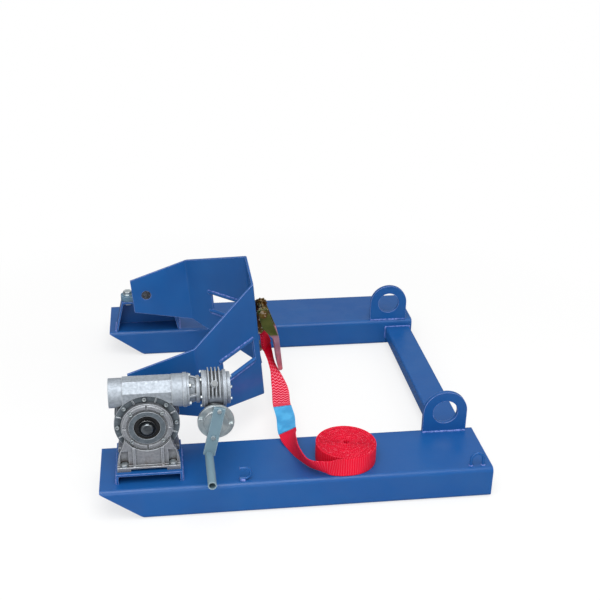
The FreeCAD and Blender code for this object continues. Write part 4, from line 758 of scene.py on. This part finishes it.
def sewn_eye():
    """The sewn eye of the strap round the buckle's bolt, with the strap's folded end inside it."""
    low, high = (np.array(c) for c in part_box("anchor_bolt"))
    bolt = 0.5 * (low + high)
    tip = np.array([eye_tip[0], bolt[1], eye_tip[1]])
    big = 0.5 * (high[2] - low[2]) + eye_gap + 0.5 * strap_thickness
    small = eye_tip_gap + 0.5 * strap_thickness
    flat = eye_line(bolt[[0, 2]], tip[[0, 2]], big, small)
    belt = np.stack([flat[:, 0], np.full(len(flat), bolt[1]), flat[:, 1]], axis=1)
    line, _, places = even_steps(belt, belt, eye_step)
    level = np.tile([0.0, 1.0, 0.0], (len(line), 1))
    turned = bolt + eye_turned(line - bolt, line, bolt, tip)
    rings, x = band(turned, eye_turned(level, line, bolt, tip), strap_width, strap_thickness)
    reach = np.linspace(fold_start, 1, fold_steps)
    core = bolt + (tip - bolt) * reach[:, None]
    room = 2 * ((1 - reach) * big + reach * small) - strap_thickness - fold_clearance
    fold_across = eye_turned(level[:fold_steps], core, bolt, tip)
    fold, fold_x = band(core, fold_across, strap_width, room)
    fold_run = np.linspace(0, np.linalg.norm(tip - bolt), fold_steps)
    charts = [band_chart(x, places + fold_chart), band_chart(fold_x, fold_run + fold_chart)]
    eye = surface("sewn_eye", [rings, fold], red_webbing, charts)
    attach(eye, "cradle")
    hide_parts("webbing_loop")


# Weld beads


def bead(points, radius=bead_radius):
    """A weld bead along a line: a lumpy tube whose radius swells with each ripple,
    r = R (1 + k |sin(pi (s - R cos a) / ripple)|), drawn to a point at both ends."""
    points = np.asarray(points, float)
    line, _, places = even_steps(points, points, bead_step)
    along = unit(np.gradient(line, axis=0))
    up = np.where(np.abs(along[:, 2:]) > steep, [[1.0, 0.0, 0.0]], [[0.0, 0.0, 1.0]])
    side = unit(np.cross(along, up))
    top = np.cross(side, along)
    angle = np.linspace(0, full_turn, bead_sides + 1)
    lag = places[:, None] - radius * np.cos(angle)[None, :]
    to_end = np.minimum(places, places[-1] - places) / radius
    taper = np.sqrt(np.clip(to_end, bead_tip_share, 1))[:, None]
    first, second = (np.sin(places * rate)[:, None] for rate in bead_lump_rates)
    lumps = 1 + bead_lump_share * first * second
    ripples = 1 + bead_ripple_share * np.abs(np.sin(math.pi * lag / bead_ripple))
    size = radius * taper * lumps * ripples
    turn = angle[None, :, None]
    ring = np.cos(turn) * side[:, None] + np.sin(turn) * top[:, None]
    rings = line[:, None] + size[:, :, None] * ring
    ends = [np.repeat(line[i][None, None], len(angle), axis=1) for i in (0, -1)]
    return np.concatenate([ends[0], rings, ends[1]])


def ring_line(centre, radius, first, second):
    """A circle about a centre in the plane of two directions."""
    angle = np.linspace(0, full_turn, bead_ring_points)[:, None]
    turned = np.cos(angle) * np.array(first) + np.sin(angle) * np.array(second)
    return np.array(centre) + radius * turned


def frame_welds():
    """Beads at the feet of the lugs, stands and tie fittings and round the rear tube's ends."""
    beads = []
    for name in ("near_lug", "far_lug"):
        low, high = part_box(name)
        beads += [bead([(low.x, y, low.z), (high.x, y, low.z)]) for y in (low.y, high.y)]
    for name in ("near_stand", "far_stand"):
        low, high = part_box(name)
        beads += [bead([(x, low.y, low.z), (x, high.y, low.z)]) for x in (low.x, high.x)]
    low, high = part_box("rear_tube")
    corners = [(low.x, low.z), (high.x, low.z), (high.x, high.z), (low.x, high.z), (low.x, low.z)]
    beads += [bead([(x, y, z) for x, z in corners], thin_bead) for y in (low.y, high.y)]
    low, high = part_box("tie_hook")
    weld_end = 0.5 * (low.x + high.x)
    for y in (low.y, high.y):
        beads.append(bead([(low.x, y, low.z), (weld_end, y, low.z)], blob_radius))
    low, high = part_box("tie_staple")
    bar = 0.5 * (high.y - low.y)
    feet = [(x, low.y + bar, low.z) for x in (low.x + bar, high.x - bar)]
    beads += [bead(ring_line(foot, bar, (1, 0, 0), (0, 1, 0)), thin_bead) for foot in feet]
    welds = surface("frame_welds", beads, bead_paint)
    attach(welds, "frame")


def stand_back():
    """The plate that shuts the far stand's back: a flat sheet between its slanting legs."""
    low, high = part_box("far_stand")
    middle = 0.5 * (low.x + high.x)
    foot, top = 0.5 * (high.x - low.x) - stand_plate, stand_top_half - stand_plate
    share = np.array([0.0, 1.0])
    half_width = foot + (top - foot) * share
    z = low.z + (high.z - low.z - stand_plate) * share
    depth = np.full(2, high.y - stand_plate - stand_inset)
    front = np.stack([np.stack([middle + s * half_width, depth, z], axis=1) for s in (-1, 1)])
    back = front + np.array([0.0, stand_plate, 0.0])
    loop = np.stack([front[0], front[1], back[1], back[0], front[0]])
    caps = [np.stack([loop[:4:3, i], loop[1:3, i]]) for i in (0, 1)]
    plate_back = surface("far_stand_back", [loop] + caps, finishes["frame_paint"])
    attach(plate_back, "frame")


def on_cradle(places):
    """Places on the cradle, given as (back from the pivot, across, up) before it is tilted."""
    places = np.asarray(places, float)
    tilt = math.radians(rest_tilt_deg)
    x = pivot[0] + places[:, 0] * math.cos(tilt) - places[:, 2] * math.sin(tilt)
    z = pivot[2] + places[:, 0] * math.sin(tilt) + places[:, 2] * math.cos(tilt)
    return np.stack([x, pivot[1] + places[:, 1], z], axis=1)


def cradle_welds():
    """Ragged beads along the strap guides and round the two shaft collars."""
    run, drop = back_reach - fold_reach, wing_half_gap - back_half_width
    length = math.hypot(run, drop)
    beads = []
    for side in (-1, 1):
        way = np.array([run / length, -side * drop / length, 0.0])
        for shift in (-0.5 * plate, 0.5 * plate):
            for up in (guide_top, guide_bottom):
                x = fold_reach + shift * drop / length
                y = side * (wing_half_gap + shift * run / length)
                start = np.array([x, y, up])
                beads.append(bead(on_cradle([start + t * way for t in guide_span]), thin_bead))
        face_y = side * (wing_half_gap + 0.5 * plate)
        circle = ring_line((0, face_y, 0), collar_radius, (1, 0, 0), (0, 0, 1))
        beads.append(bead(on_cradle(circle), thin_bead))
    welds = surface("cradle_welds", beads, bead_paint)
    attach(welds, "cradle")


# Stage


def pale_floor():
    """A plain pale floor: nearly white to the camera, with a light shadow that fades out with
    distance, and darker in reflections so that the shaded paint keeps its depth."""
    reach = np.array([-floor_reach, floor_reach])
    x, y = np.meshgrid(reach, reach, indexing="ij")
    grid = np.stack([x, y, np.full_like(x, -floor_drop)], axis=2)
    material, tree = blank_material("pale_floor")
    path = add(tree, "ShaderNodeLightPath").outputs
    matt = add(tree, "ShaderNodeBsdfDiffuse", {"Color": linear(floor_tone)}).outputs[0]
    dusk = add(tree, "ShaderNodeBsdfDiffuse", {"Color": linear(floor_tone_in_gloss)}).outputs[0]
    glow = {"Color": white_light, "Strength": 1.0}
    white = add(tree, "ShaderNodeEmission", glow).outputs[0]
    place = add(tree, "ShaderNodeTexCoord").outputs["Object"]
    away = add(tree, "ShaderNodeVectorMath", {0: place}, operation="LENGTH").outputs["Value"]
    span = {"Value": away, "From Min": shadow_reach[0], "From Max": shadow_reach[1]}
    fade = {**span, "To Min": shadow_share, "To Max": 0.0}
    kept = add(tree, "ShaderNodeMapRange", fade).outputs[0]
    pale = add(tree, "ShaderNodeMixShader", {0: kept, 1: white, 2: matt}).outputs[0]
    seen_in_gloss = {0: path["Is Glossy Ray"], 1: matt, 2: dusk}
    lit = add(tree, "ShaderNodeMixShader", seen_in_gloss).outputs[0]
    seen_by_camera = {0: path["Is Camera Ray"], 1: lit, 2: pale}
    shown = add(tree, "ShaderNodeMixShader", seen_by_camera).outputs[0]
    add(tree, "ShaderNodeOutputMaterial", {"Surface": shown})
    floor = surface("floor", [grid], material)


def studio_sky():
    """A soft sky, brighter above, that is white to the camera."""
    world = bpy.data.worlds.new("studio")
    world.use_nodes = True
    tree = world.node_tree
    tree.nodes.clear()
    path = add(tree, "ShaderNodeLightPath").outputs
    way = add(tree, "ShaderNodeTexCoord").outputs["Generated"]
    height = add(tree, "ShaderNodeSeparateXYZ", {0: way}).outputs["Z"]
    span = {"Value": height, "From Min": sky_rise[0], "From Max": sky_rise[1]}
    rise = {**span, "To Min": sky_low, "To Max": sky_high}
    strength = add(tree, "ShaderNodeMapRange", rise).outputs[0]
    glow = {"Color": white_light, "Strength": strength}
    soft = add(tree, "ShaderNodeBackground", glow).outputs[0]
    glow = {"Color": white_light, "Strength": 1.0}
    white = add(tree, "ShaderNodeBackground", glow).outputs[0]
    seen_by_camera = {0: path["Is Camera Ray"], 1: soft, 2: white}
    shown = add(tree, "ShaderNodeMixShader", seen_by_camera).outputs[0]
    add(tree, "ShaderNodeOutputWorld", {"Surface": shown})
    bpy.context.scene.world = world


def lights():
    """Large soft lamps that face the middle of the object."""
    aim = 0.5 * (cad_box[0] + cad_box[1])
    for name, values in lamps.items():
        lamp = bpy.data.lights.new(name, "AREA")
        lamp.size = values["size"]
        lamp.energy = values["watts"]
        thing = bpy.data.objects.new(name, lamp)
        thing.location = values["place"]
        thing.rotation_euler = (aim - thing.location).to_track_quat("-Z", "Y").to_euler()
        bpy.context.scene.collection.objects.link(thing)


def camera():
    """The camera at the photograph's angle."""
    lens = bpy.data.cameras.new("camera")
    lens.lens = camera_lens
    lens.shift_x, lens.shift_y = camera_shift
    eye = bpy.data.objects.new("camera", lens)
    turn = Euler([math.radians(a) for a in camera_turn_deg], "XYZ").to_matrix().to_4x4()
    eye.matrix_world = Matrix.Translation(camera_place) @ turn
    bpy.context.scene.collection.objects.link(eye)
    bpy.context.scene.camera = eye


dress_solids()
lashing_strap()
strap_label()
sewn_eye()
frame_welds()
cradle_welds()
stand_back()
pale_floor()
studio_sky()
lights()
camera()
bpy.context.scene.view_settings.view_transform = "Standard"
